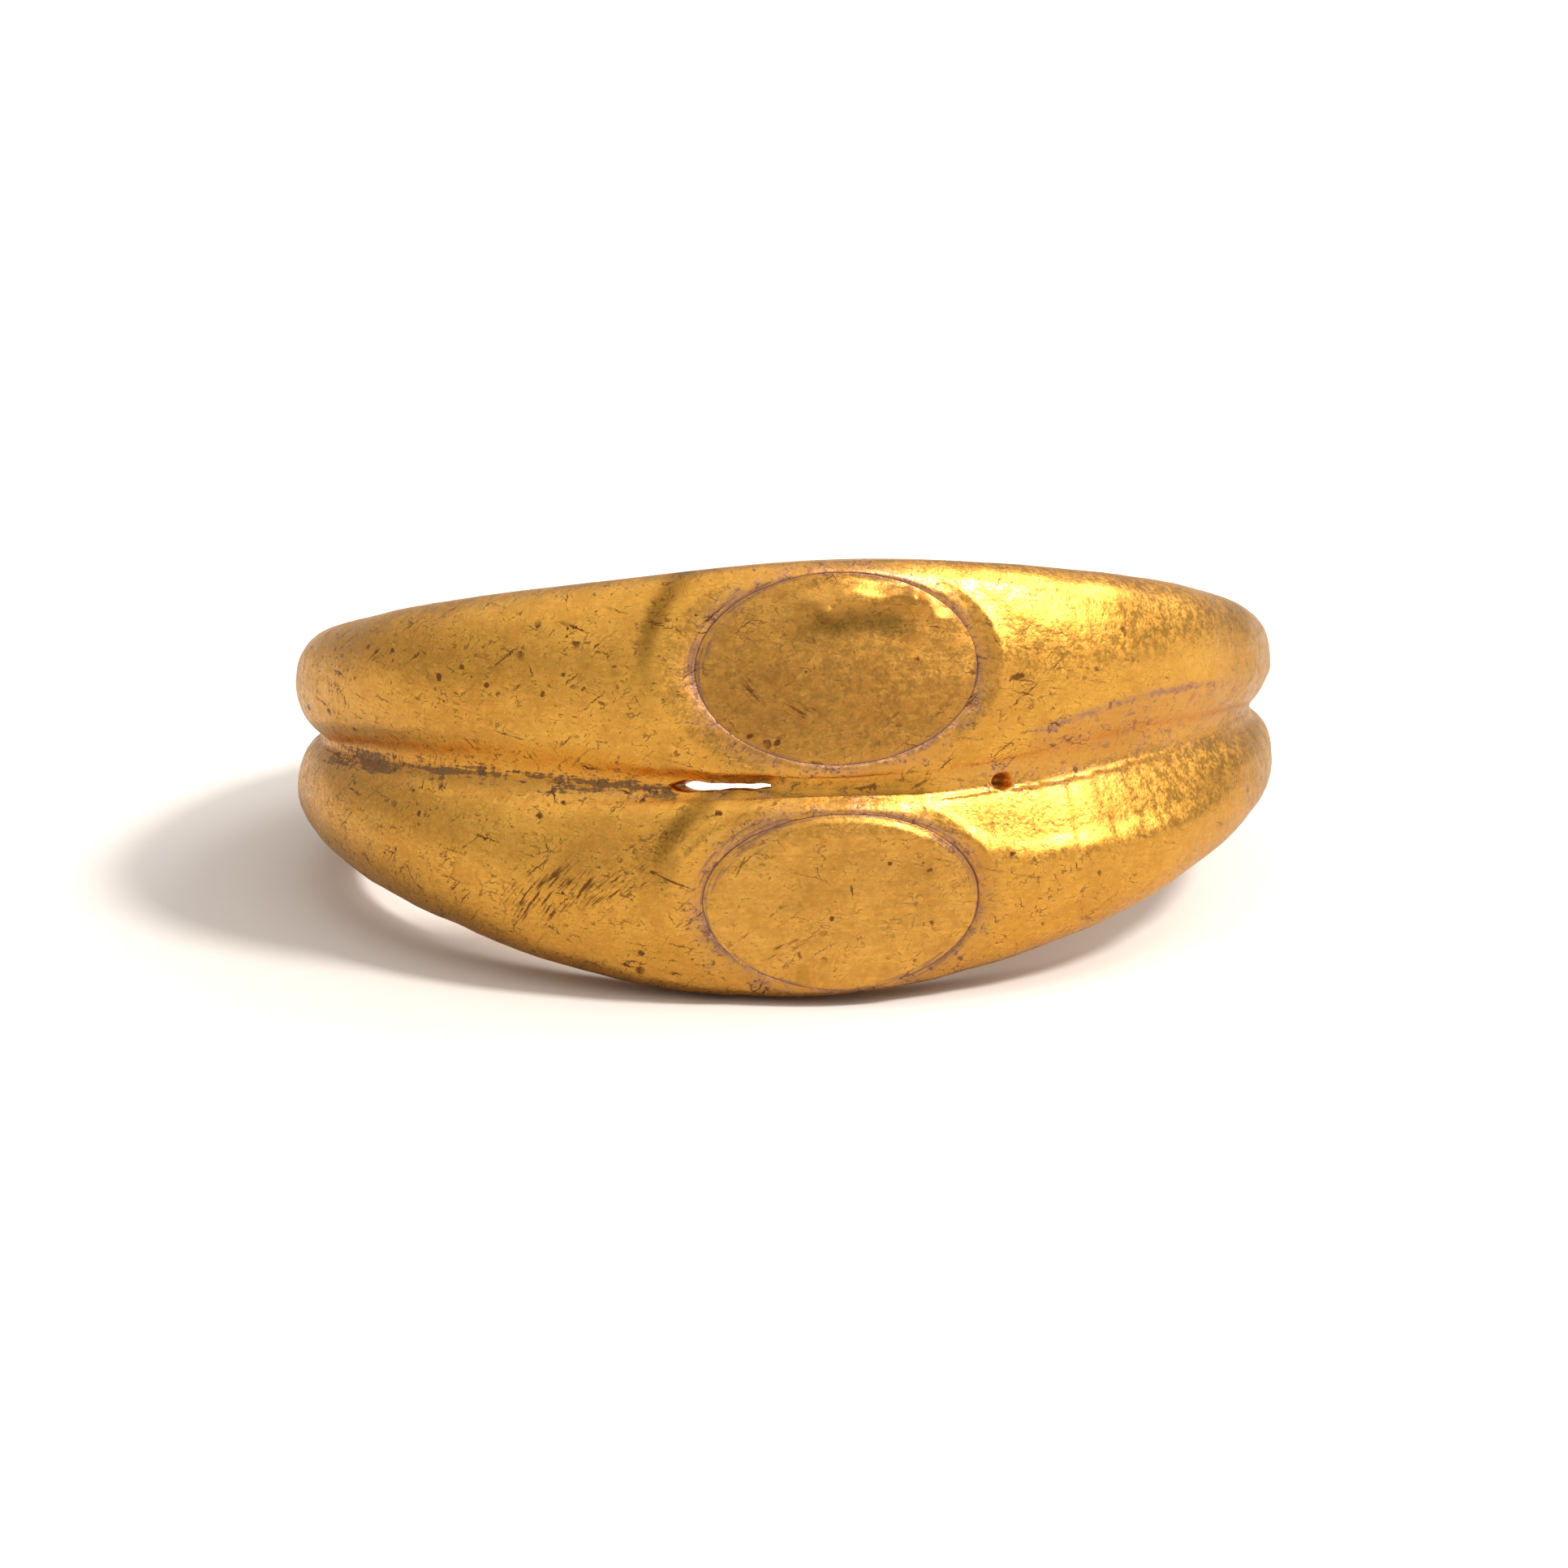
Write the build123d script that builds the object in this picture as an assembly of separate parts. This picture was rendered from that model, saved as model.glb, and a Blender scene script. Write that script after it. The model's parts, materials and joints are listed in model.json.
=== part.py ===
from build123d import *
from math import asin, atan2, cos, degrees, hypot, radians, sin, sqrt
import os

# Driving sizes, in millimetres and degrees.
bore_radius = 8.75
hoop_width = 4.7
hoop_thickness = 2.4
crown_radius = 7.0
edge_radius = 1.4
bezel_lean = 5.0
joint_shift = 0.15
solder_wrap = 45.0
bore_allowance = 0.6

# Sections round the ring, from the back. The angle is nought at the middle of the bezels and grows
# towards +X. Widths are shares of hoop_width, the thickness of hoop_thickness, the crown of
# crown_radius, the roundings (outer side, upper and lower joint side) of edge_radius, the wrap of
# solder_wrap, the lean of bezel_lean and the shift of joint_shift.
section_columns = (
    "angle", "upper", "lower", "thickness", "crown", "outer_edge", "upper_joint", "lower_joint", "wrap", "lean", "shift"
)
section_rows = (
    (-180, 0.36, 0.36, 0.67, 0.17, 0.54, 0.36, 0.36, 0.35, 0.00, 0.00),
    (-174, 0.36, 0.36, 0.67, 0.17, 0.54, 0.36, 0.36, 0.35, 0.00, 0.00),
    (-150, 0.38, 0.37, 0.71, 0.18, 0.54, 0.36, 0.36, 0.35, 0.00, 0.00),
    (-120, 0.44, 0.43, 0.81, 0.20, 0.65, 0.40, 0.40, 0.50, 0.00, 0.00),
    (-90, 0.53, 0.50, 0.94, 0.24, 0.79, 0.46, 0.48, 0.60, 0.00, 0.00),
    (-60, 0.72, 0.70, 1.00, 0.34, 0.95, 0.72, 0.66, 1.00, 0.25, 0.30),
    (-30, 0.90, 0.92, 1.00, 0.57, 0.79, 0.80, 0.70, 1.00, 0.80, -0.60),
    (0, 1.01, 0.96, 0.88, 1.00, 0.32, 0.38, 0.36, 0.60, 1.00, -1.20),
    (30, 0.91, 0.82, 1.00, 0.57, 0.79, 0.80, 0.80, 1.00, 0.80, -0.50),
    (60, 0.67, 0.60, 1.00, 0.34, 0.95, 0.75, 0.80, 1.00, 0.25, 1.30),
    (90, 0.46, 0.38, 0.91, 0.22, 0.68, 0.48, 0.48, 0.70, 0.00, 1.00),
    (120, 0.40, 0.37, 0.81, 0.19, 0.58, 0.38, 0.38, 0.50, 0.00, 0.60),
    (150, 0.37, 0.36, 0.71, 0.18, 0.54, 0.36, 0.36, 0.35, 0.00, 0.20),
    (174, 0.36, 0.36, 0.67, 0.17, 0.54, 0.36, 0.36, 0.35, 0.00, 0.00),
)

# The oval plates and their pockets.
upper_plate_length = 6.15
upper_plate_width = 4.15
upper_plate_offset = 2.41
lower_plate_length = 6.0
lower_plate_width = 3.87
lower_plate_offset = 2.35
plate_shift = 0.1
seat_height = 1.1
plate_height = 1.02
plate_dome_radius = 11.0
plate_rim_round = 0.18
rim_gap = 0.08
moat_foot = 0.35
moat_end = 0.75
moat_side = 0.1
moat_rise = 0.32
dish_radius = 9.0
dish_depth = 0.12

# The slit and the blow-hole in the solder.
slit_middle = -13.4
slit_length = 2.0
slit_tall_end = 0.2
slit_low_end = 0.09
slit_offset = -0.32
slit_pitch = 7.6
pit_angle = 21.0
pit_offset = -0.2
pit_radius = 0.2
pit_floor = 0.9


sections = [dict(zip(section_columns, row)) for row in section_rows]
front_section = min(sections, key=lambda section: abs(section["angle"]))
back_section = sections[0]


def hoop_outline(side, share):
    """Points of one hoop's section from its outer side to the solder, as (radius, height)."""
    width = hoop_width * share["upper" if side > 0 else "lower"]
    thickness = hoop_thickness * share["thickness"]
    crown = crown_radius * share["crown"]
    joint_edge = edge_radius * share["upper_joint" if side > 0 else "lower_joint"]
    outer_edge = min(edge_radius * share["outer_edge"], 0.48 * width)
    lean = radians(bezel_lean * share["lean"])
    crown_centre = (thickness - crown, width / 2)

    def edge_centre(edge, across):
        reach = crown - edge
        return (crown_centre[0] + sqrt(reach**2 - (width / 2 - edge) ** 2), across)

    def on_arc(centre, radius, angle):
        return (centre[0] + radius * cos(angle), centre[1] + radius * sin(angle))

    def place(point):
        radius = bore_radius + point[0] * cos(lean) - point[1] * sin(lean)
        height = point[0] * sin(lean) + point[1] * cos(lean)
        return (radius, side * height + joint_shift * share["shift"])

    joint_centre = edge_centre(joint_edge, joint_edge)
    outer_centre = edge_centre(outer_edge, width - outer_edge)
    joint_angle = atan2(joint_centre[1] - crown_centre[1], joint_centre[0] - crown_centre[0])
    outer_angle = atan2(outer_centre[1] - crown_centre[1], outer_centre[0] - crown_centre[0])
    upright = radians(90)
    solder_angle = radians(solder_wrap * share["wrap"]) - upright
    side_top = place((outer_centre[0], width))
    foot_radius = bore_radius - bore_allowance
    foot_height = side_top[1] - side * (side_top[0] - foot_radius) * sin(lean) / cos(lean)
    return {
        "foot": (foot_radius, foot_height),
        "side_top": side_top,
        "outer_mid": place(on_arc(outer_centre, outer_edge, (outer_angle + upright) / 2)),
        "crown_outer": place(on_arc(crown_centre, crown, outer_angle)),
        "crown_mid": place(on_arc(crown_centre, crown, (outer_angle + joint_angle) / 2)),
        "crown_joint": place(on_arc(crown_centre, crown, joint_angle)),
        "joint_mid": place(on_arc(joint_centre, joint_edge, (joint_angle + solder_angle) / 2)),
        "solder": place(on_arc(joint_centre, joint_edge, solder_angle)),
        "back_corner": place(outer_centre),
        "outer_edge": outer_edge,
    }


def solder_bottom(upper, lower, share):
    """The lowest point of the solder, which runs on smoothly from both hoops."""
    half_gap = (upper["solder"][1] - lower["solder"][1]) / 2
    top = (upper["solder"][0] + lower["solder"][0]) / 2
    middle = (upper["solder"][1] + lower["solder"][1]) / 2
    half_turn = radians(90 - solder_wrap * share["wrap"]) / 2
    return (top - half_gap * sin(half_turn) / cos(half_turn), middle)


def section_wire(share):
    """The whole ring's section at one angle: bore line, both hoops and the solder between them."""
    upper = hoop_outline(1, share)
    lower = hoop_outline(-1, share)
    around = radians(share["angle"])
    plane = Plane(
        origin=(0, 0, 0),
        x_dir=(sin(around), -cos(around), 0),
        z_dir=(-cos(around), -sin(around), 0),
    )

    def at(point):
        return plane.from_local_coords(Vector(point[0], point[1], 0))

    def arc(start, middle, end):
        return Edge.make_three_point_arc(at(start), at(middle), at(end))

    def line(start, end):
        return Edge.make_line(at(start), at(end))

    edges = [
        line(lower["foot"], upper["foot"]),
        line(upper["foot"], upper["side_top"]),
        arc(upper["side_top"], upper["outer_mid"], upper["crown_outer"]),
        arc(upper["crown_outer"], upper["crown_mid"], upper["crown_joint"]),
        arc(upper["crown_joint"], upper["joint_mid"], upper["solder"]),
        arc(upper["solder"], solder_bottom(upper, lower, share), lower["solder"]),
        arc(lower["solder"], lower["joint_mid"], lower["crown_joint"]),
        arc(lower["crown_joint"], lower["crown_mid"], lower["crown_outer"]),
        arc(lower["crown_outer"], lower["outer_mid"], lower["side_top"]),
        line(lower["side_top"], lower["foot"]),
    ]
    return Wire(edges)


def hoops_blank():
    wires = [section_wire(section) for section in sections]
    return Solid.make_loft(wires + [wires[0]])


def bezel_plane(side, offset, height):
    """A plane at a height above the bore, square to the bezel's own facing direction."""
    lean = radians(bezel_lean * front_section["lean"])
    shift = joint_shift * front_section["shift"]
    outward = height * cos(lean) - offset * sin(lean)
    upward = height * sin(lean) + offset * cos(lean)
    return Plane(
        origin=(plate_shift, -(bore_radius + outward), side * upward + shift),
        x_dir=(1, 0, 0),
        z_dir=(0, -cos(lean), side * sin(lean)),
    )


def oval(plane, length, width):
    return plane * Ellipse(length / 2, width / 2)


def bezel_pocket(side, offset, length, width):
    """The seat for the plate and the moat that opens round it."""
    pocket_length = length + 2 * rim_gap
    pocket_width = width + 2 * rim_gap
    seat_plane = bezel_plane(side, offset, seat_height)
    foot_plane = bezel_plane(side, offset, seat_height + moat_foot)
    rim_plane = bezel_plane(side, offset, seat_height + moat_foot + moat_rise)
    foot = oval(foot_plane, pocket_length, pocket_width)
    rim = oval(rim_plane, pocket_length + 2 * moat_end, pocket_width + 2 * moat_side)
    seat = extrude(oval(seat_plane, pocket_length, pocket_width), hoop_thickness)
    flare = Solid.make_loft([foot.wire(), rim.wire()], True)
    return seat + flare + extrude(rim, hoop_thickness)


def above(edge, plane):
    return (edge.center() - plane.origin).dot(plane.z_dir)


def bezel_plate(side, offset, length, width, dished):
    """An oval plate with a domed face and a softened rim, standing on the seat."""
    seat_plane = bezel_plane(side, offset, seat_height)
    blank = extrude(oval(seat_plane, length, width), 2 * plate_height)
    dome = seat_plane * Pos(0, 0, plate_height - plate_dome_radius) * Sphere(plate_dome_radius)
    plate = blank & dome
    if dished:
        hollow = seat_plane * Pos(0, 0, plate_height - dish_depth + dish_radius) * Sphere(dish_radius)
        plate = plate - hollow
    rim = [edge for edge in plate.edges() if edge.length > 2 * length and above(edge, seat_plane) > plate_height / 3]
    return fillet(rim, plate_rim_round)


def slit_cutter():
    """A slim wedge through the solder, pitched so that daylight shows through from the front."""
    around = radians(slit_middle)
    pitch = radians(slit_pitch)
    out = Vector(sin(around) * cos(pitch), -cos(around) * cos(pitch), sin(pitch))
    plane = Plane(
        origin=(bore_radius * sin(around), -bore_radius * cos(around), slit_offset),
        x_dir=(cos(around), sin(around), 0),
        z_dir=out,
    )
    half = slit_length / 2
    outline = Polyline(
        (-half, -0.2 * slit_tall_end),
        (-0.8 * half, -slit_tall_end / 2),
        (0, -slit_low_end),
        (half, -slit_low_end / 2),
        (half, slit_low_end / 2),
        (0, 0.7 * slit_low_end),
        (-0.7 * half, slit_tall_end / 2),
        (-half, 0.2 * slit_tall_end),
        close=True,
    )
    return extrude(plane * make_face(outline), hoop_thickness, both=True)


def pit_cutter():
    around = radians(pit_angle)
    plane = Plane(
        origin=((bore_radius + pit_floor) * sin(around), -(bore_radius + pit_floor) * cos(around), pit_offset),
        z_dir=(sin(around), -cos(around), 0),
    )
    return extrude(plane * Circle(pit_radius), hoop_thickness)


def resting_tilt():
    """The slope of a floor that touches the lower hoop's bore edge in front and its round edge behind."""
    front = hoop_outline(-1, front_section)
    back = hoop_outline(-1, back_section)
    lean = radians(bezel_lean * front_section["lean"])
    front_drop = front["side_top"][1] + (front["side_top"][0] - bore_radius) * sin(lean) / cos(lean)
    run = back["back_corner"][0] + bore_radius
    rise = back["back_corner"][1] - front_drop
    return degrees(atan2(rise, run) - asin(back["outer_edge"] / hypot(rise, run)))


def build_ring():
    metal = hoops_blank()
    metal = metal - Cylinder(bore_radius, 6 * hoop_width)
    upper_oval = (1, upper_plate_offset, upper_plate_length, upper_plate_width)
    lower_oval = (-1, lower_plate_offset, lower_plate_length, lower_plate_width)
    metal = metal - bezel_pocket(*upper_oval)
    metal = metal - bezel_pocket(*lower_oval)
    metal = metal - slit_cutter()
    metal = metal - pit_cutter()
    pieces = {
        "double_hoop": metal,
        "upper_bezel_plate": bezel_plate(*upper_oval, True),
        "lower_bezel_plate": bezel_plate(*lower_oval, False),
    }
    tilt = resting_tilt()
    turned = {name: Rot(-tilt, 0, 0) * piece for name, piece in pieces.items()}
    box = Compound(list(turned.values())).bounding_box()
    lift = Pos(-box.center().X, -box.center().Y, -box.min.Z)
    print("tilt", round(tilt, 4), "ring centre", tuple(round(value, 4) for value in lift.position))
    return {name: lift * piece for name, piece in turned.items()}


os.makedirs("parts", exist_ok=True)
for name, piece in build_ring().items():
    export_step(piece.solids()[0], "parts/" + name + ".step")
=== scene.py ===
import json
from math import cos, radians, sin, sqrt, tan
import bpy
import numpy as np
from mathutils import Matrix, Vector


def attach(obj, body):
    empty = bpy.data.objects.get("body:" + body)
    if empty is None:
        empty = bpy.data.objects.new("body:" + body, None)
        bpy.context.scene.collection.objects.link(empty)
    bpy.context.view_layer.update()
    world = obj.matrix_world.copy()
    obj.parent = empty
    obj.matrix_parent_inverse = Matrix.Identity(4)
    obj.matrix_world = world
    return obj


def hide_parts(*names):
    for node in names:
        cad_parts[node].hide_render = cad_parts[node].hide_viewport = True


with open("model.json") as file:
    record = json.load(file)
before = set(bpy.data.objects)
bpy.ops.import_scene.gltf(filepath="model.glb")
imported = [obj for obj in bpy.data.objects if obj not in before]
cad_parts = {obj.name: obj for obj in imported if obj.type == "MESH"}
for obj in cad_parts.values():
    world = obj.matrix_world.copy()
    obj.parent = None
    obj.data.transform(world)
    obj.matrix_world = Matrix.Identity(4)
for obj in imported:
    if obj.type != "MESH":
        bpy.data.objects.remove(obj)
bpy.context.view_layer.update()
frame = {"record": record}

millimetre = 0.001

# where the finger hole sits: every ring measure below is taken from its middle
fingerHole = frame["record"]["mounts"][0]
ringMiddle = Vector(fingerHole["pos_m"])
ringAxis = Vector(fingerHole["axis"]).normalized()
ringDepth = ringAxis.cross(Vector((1, 0, 0)))  # points to the back of the ring
turnToFloor = np.array([(1, 0, 0), tuple(ringDepth), tuple(ringAxis)])


def toFloor(points):
    # ring millimetres into the frame's metres
    return points @ turnToFloor * millimetre + np.array(ringMiddle)


# the two hoops, with the sizes in mm and degrees; waves: longest, shortest, how many, seed
hoops = {
    "boreRadius": 8.75, "hoopWidth": 4.7, "hoopThickness": 2.4, "crownRadius": 7.0, "edgeRadius": 1.4,
    "bezelLean": 5.0, "jointShift": 0.15, "solderWrap": 45.0, "meanRadius": 10.9, "skinRadius": 11.0,
    "boreEdge": 0.16, "boreEdgeShare": 0.4, "outerEdgeShare": 0.48, "skinIn": 0.004,
    "frontStep": 0.075, "shoulderStep": 0.13, "backStep": 0.26, "shoulders": (26, 40), "back": (95, 125),
    "boreRows": 6, "boreEdgeRows": 4, "sideRows": 5, "outerRows": 9, "crownRows": 28, "jointRows": 13,
    "solderRows": 9, "solderRow": 60, "blockTurn": 24.0,
    "seamHollow": 0.55, "seamHollowWidth": 0.45, "faceHeight": 0.4,
    "handWave": 0.02, "handSunk": 1.43, "handWaves": (6.0, 1.6, 9, 11),
    "hammerWave": 0.004, "hammerWaves": (1.1, 0.45, 12, 5),
}
farAway = 9.0  # mm, for points that no seam or joint is near

# shares of those sizes round the ring: both widths, thickness, crown, the roundings of the outer side and
# of the upper and lower joint side, wrap of the solder, lean, shift of the joint
hoopShares = (
    "upper", "lower", "thickness", "crown", "outerEdge", "upperJoint", "lowerJoint", "wrap", "lean", "shift",
)
hoopStations = {
    -180: (0.36, 0.36, 0.67, 0.17, 0.54, 0.36, 0.36, 0.35, 0.00, 0.00),
    -174: (0.36, 0.36, 0.67, 0.17, 0.54, 0.36, 0.36, 0.35, 0.00, 0.00),
    -150: (0.38, 0.37, 0.71, 0.18, 0.54, 0.36, 0.36, 0.35, 0.00, 0.00),
    -120: (0.44, 0.43, 0.81, 0.20, 0.65, 0.40, 0.40, 0.50, 0.00, 0.00),
    -90: (0.53, 0.50, 0.94, 0.24, 0.79, 0.46, 0.48, 0.60, 0.00, 0.00),
    -60: (0.72, 0.70, 1.00, 0.34, 0.95, 0.72, 0.66, 1.00, 0.25, 0.30),
    -30: (0.90, 0.92, 1.00, 0.57, 0.79, 0.80, 0.70, 1.00, 0.80, -0.60),
    0: (1.01, 0.96, 0.88, 1.00, 0.32, 0.38, 0.36, 0.60, 1.00, -1.20),
    30: (0.91, 0.82, 1.00, 0.57, 0.79, 0.80, 0.80, 1.00, 0.80, -0.50),
    60: (0.67, 0.60, 1.00, 0.34, 0.95, 0.75, 0.80, 1.00, 0.25, 1.30),
    90: (0.46, 0.38, 0.91, 0.22, 0.68, 0.48, 0.48, 0.70, 0.00, 1.00),
    120: (0.40, 0.37, 0.81, 0.19, 0.58, 0.38, 0.38, 0.50, 0.00, 0.60),
    150: (0.37, 0.36, 0.71, 0.18, 0.54, 0.36, 0.36, 0.35, 0.00, 0.20),
    174: (0.36, 0.36, 0.67, 0.17, 0.54, 0.36, 0.36, 0.35, 0.00, 0.00),
}

# the oval plates: u runs along the hoop, v across it, heights stand on the bore
upperPlate = {
    "side": 1, "length": 6.15, "width": 4.15, "offset": 2.41, "shift": 0.1,
    "middleHeight": 2.1, "endFall": 8.4, "sideFall": 11.0, "rimRound": 0.01, "seatHeight": 1.1,
    "moatLeft": 0.8, "moatRight": 0.52, "moatSide": 0.34, "moatDeepEnd": 0.25, "moatDeepSide": 0.1,
    "moatCurve": 1.7, "ridge": 0.06, "ridgeAt": 1.08, "ridgeWidth": 0.28,
    "proud": 0.0, "proudAt": 300, "proudWidth": 30, "lipEase": 0.42,
    "seamOpen": 0.02, "seamDeep": 0.006, "rimGap": 0.002, "seatGap": 0.03,
    "spokes": 260, "rings": 62, "pocketRings": 24,
    # angle round the oval, width and strength: dirt in the seam, and the painted shade band outside the moat
    "leastDirt": 0.2, "dirtAt": ((172, 40, 0.8), (60, 22, 0.5), (330, 25, 0.3)),
    "shadeBandAt": (150, 34, 0.9), "shadeBandOut": 1.12, "shadeBandWidth": 0.26,
    # relief: the dish, the lip with its line's middle, bow, place and wave, the drop and the dimples' rims
    "waves": ((0.01, (2.6, 0.9, 8, 21)), (0.004, (0.7, 0.3, 8, 3))), "dish": 0.1, "dishReach": 0.88,
    "lip": 0.15, "lipLine": (1.33, 0.07, 0.6, 0.05), "lipAcross": (-0.32, 0.12, 0.2, 0.6),
    "lipAlong": (-1.3, -0.1, 1.7, 2.5),
    "drop": 0.15, "dropAt": (1.76, 0.04, 0.17), "dropAcross": (0.45, 0.75, 1.5, 1.8),
    "knobs": ((0.1, -0.26, 0.17, 1.15, 0.16), (0.06, 2.25, 0.25, 1.0, 0.16)), "cornerRise": 0.0,
    # painted shade below the lip: strength, its line's middle, bow and place, width, and where along
    "brownAndShade": 0.72, "shadeLine": (1.0, 0.05, 0.4), "shadeWidth": 0.4, "shadeAlong": (-1.7, -0.3, 1.3, 1.6),
}
lowerPlate = dict(
    upperPlate, side=-1, length=6.0, width=3.87, offset=2.35, moatLeft=0.75, moatRight=0.45, proud=0.05,
    dirtAt=((145, 26, 1.0), (195, 22, 0.4), (30, 40, 0.7), (305, 25, 0.6)), shadeBandAt=(140, 28, 0.8),
    dish=0.05, dishReach=0.9, lip=0.06, lipLine=(1.38, 0.1, 0.4, 0.0), lipAcross=(-0.25, 0.18, 8, 9),
    lipAlong=(-1.9, -0.8, 8, 9), drop=0.0, knobs=(), cornerRise=0.05, brownAndShade=0.0,
)

# the joint, by angle: upper border of its slope, crisp line at its foot (mm up from its middle), depth
jointPlaces = {
    -95: (0.5, -0.1, 0.01), -69: (0.6, -0.1, 0.025), -50: (0.84, -0.1, 0.035), -35: (0.88, -0.1, 0.02),
    -23: (0.72, -0.15, 0.0), -16: (0.45, -0.2, 0.0), 9: (0.45, -0.49, 0.0), 15: (0.6, -0.42, 0.0),
    22: (0.8, -0.32, 0.015), 32: (1.18, -0.25, 0.06), 40: (1.33, -0.17, 0.085), 50: (1.27, -0.1, 0.085),
    64: (1.05, 0.0, 0.08), 95: (0.8, 0.0, 0.03), 110: (0.6, 0.0, 0.0),
}
# its hollow and the raised rim above it; the fillings of solder: height, where in degrees, mm up, width
joint = {
    "hollow": 2.62, "footPower": 0.55, "borderPower": 0.9, "rim": 0.35, "rimUp": 0.14, "rimWidth": 0.15,
    "edgeRows": 4,
    "fillings": (
        (0.15, (-20, -12, 8, 19), 0.14, 0.4), (0.05, (-52, -30, 28, 46), 0.33, 0.24),
        (0.13, (-9, -5, 16, 38), 0.02, 0.2),
    ),
}
# the worn facet on the lower right shoulder, by angle; its lower edge fades out
facet = {
    "strength": 0.85, "turn": (8, 17, 42, 66), "fade": (1.0, 0.6), "overlap": 0.02,
    "crestTurn": (8, 17, 45, 66), "sunk": 0.06, "raised": 0.03,
    "narrow": 0.5, "widening": 1.35, "widens": (5, 25),
}

slit = {
    "middle": -13.9, "length": 2.3, "tall": 0.28, "low": 0.13, "offset": -0.15, "atRadius": 10.0,
    "pitch": 7.6,
    "narrows": (-0.9, 0.3), "endPower": 7, "leftTaper": 0.35, "leftPower": 0.6, "leastOpen": (0.02, 0.04),
    "uneven": ((0.012, 9.0, 0.0), (0.008, 17.0, 1.0)), "highUneven": 0.5,
    "closed": 0.04, "closes": (1.0, 1.25),
}
blowHole = {
    "angle": 21.0, "across": -0.27, "radius": 0.22, "deep": 0.42, "squash": 1.35, "steep": 4, "fall": 1.2,
    "above": 0.6,
}


def closedCurve(knots, values, at):
    # smooth closed curve through the values, read at the given angles
    count = len(knots)
    places = np.append(knots, knots[0] + 360.0)
    heights = np.append(values, values[0])
    gaps = np.diff(places)
    matrix, right = np.zeros((count, count)), np.zeros(count)
    for i in range(count):
        before, after = gaps[i - 1], gaps[i]
        matrix[i, i - 1] += before
        matrix[i, i] += 2 * (before + after)
        matrix[i, (i + 1) % count] += after
        right[i] = 6 * ((heights[i + 1] - heights[i]) / after - (heights[i] - values[i - 1]) / before)
    bend = np.linalg.solve(matrix, right)
    bend = np.append(bend, bend[0])
    at = (np.asarray(at, float) - places[0]) % 360.0 + places[0]
    k = np.clip(np.searchsorted(places, at, "right") - 1, 0, count - 1)
    gap, ahead, behind = gaps[k], places[k + 1] - at, at - places[k]
    curve = (bend[k] * ahead**3 + bend[k + 1] * behind**3) / (6 * gap)
    curve += (heights[k] / gap - bend[k] * gap / 6) * ahead
    return curve + (heights[k + 1] / gap - bend[k + 1] * gap / 6) * behind


def easeStep(low, high, value):
    t = np.clip((value - low) / (high - low), 0, 1)
    return t * t * (3 - 2 * t)


def within(value, window):
    # 1 inside the window and 0 outside it, with eased ends
    start, full, leaving, end = window
    return easeStep(start, full, value) * easeStep(end, leaving, value)


def bump(value, middle, width):
    return np.exp(-(((value - middle) / width) ** 2))


def turnOf(points):
    # degrees round the ring, nought at the front
    return np.degrees(np.arctan2(points[..., 0], -points[..., 1]))


def scaledOut(points, scale):
    # moved away from the ring's axis, each point by its own scale
    return points * np.stack([scale, scale, np.ones_like(scale)], -1)


def handWaves(points, longest, shortest, count, seed):
    # slow uneven waves of hand work, between -1 and 1 or so, always the same for one seed
    dice = np.random.default_rng(seed)
    total = np.zeros(points.shape[:-1])
    for i in range(count):
        direction = dice.normal(size=3)
        direction /= np.linalg.norm(direction)
        reach = longest * (shortest / longest) ** (i / max(count - 1, 1))
        phase = dice.uniform(0, 2 * np.pi)
        total += np.sin(points @ direction * (2 * np.pi / reach) + phase)
    return total / sqrt(count)


def ringColumns():
    # angles round the ring, close together at the ovals and wide apart at the back
    fine = np.linspace(-180, 180, 14401)  # every fortieth of a degree
    away = np.abs(fine)
    step = hoops["frontStep"] + (hoops["shoulderStep"] - hoops["frontStep"]) * easeStep(*hoops["shoulders"], away)
    step += (hoops["backStep"] - hoops["shoulderStep"]) * easeStep(*hoops["back"], away)
    grow = np.concatenate([[0], np.cumsum(np.radians(np.diff(fine)) * hoops["meanRadius"] / step[1:])])
    count = int(grow[-1])
    return np.interp(np.arange(count) / count * grow[-1], grow, fine)


def sectionShares(angles):
    knots = np.array(sorted(hoopStations), float)
    table = np.array([hoopStations[int(angle)] for angle in knots])
    return {name: closedCurve(knots, table[:, i], angles) for i, name in enumerate(hoopShares)}


def sweep(start, end, count, first=0):
    # count values from start to end for every column, leaving out the first ones
    share = np.linspace(0, 1, count)[first:]
    return start[:, None] + (end - start)[:, None] * share[None, :]


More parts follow.
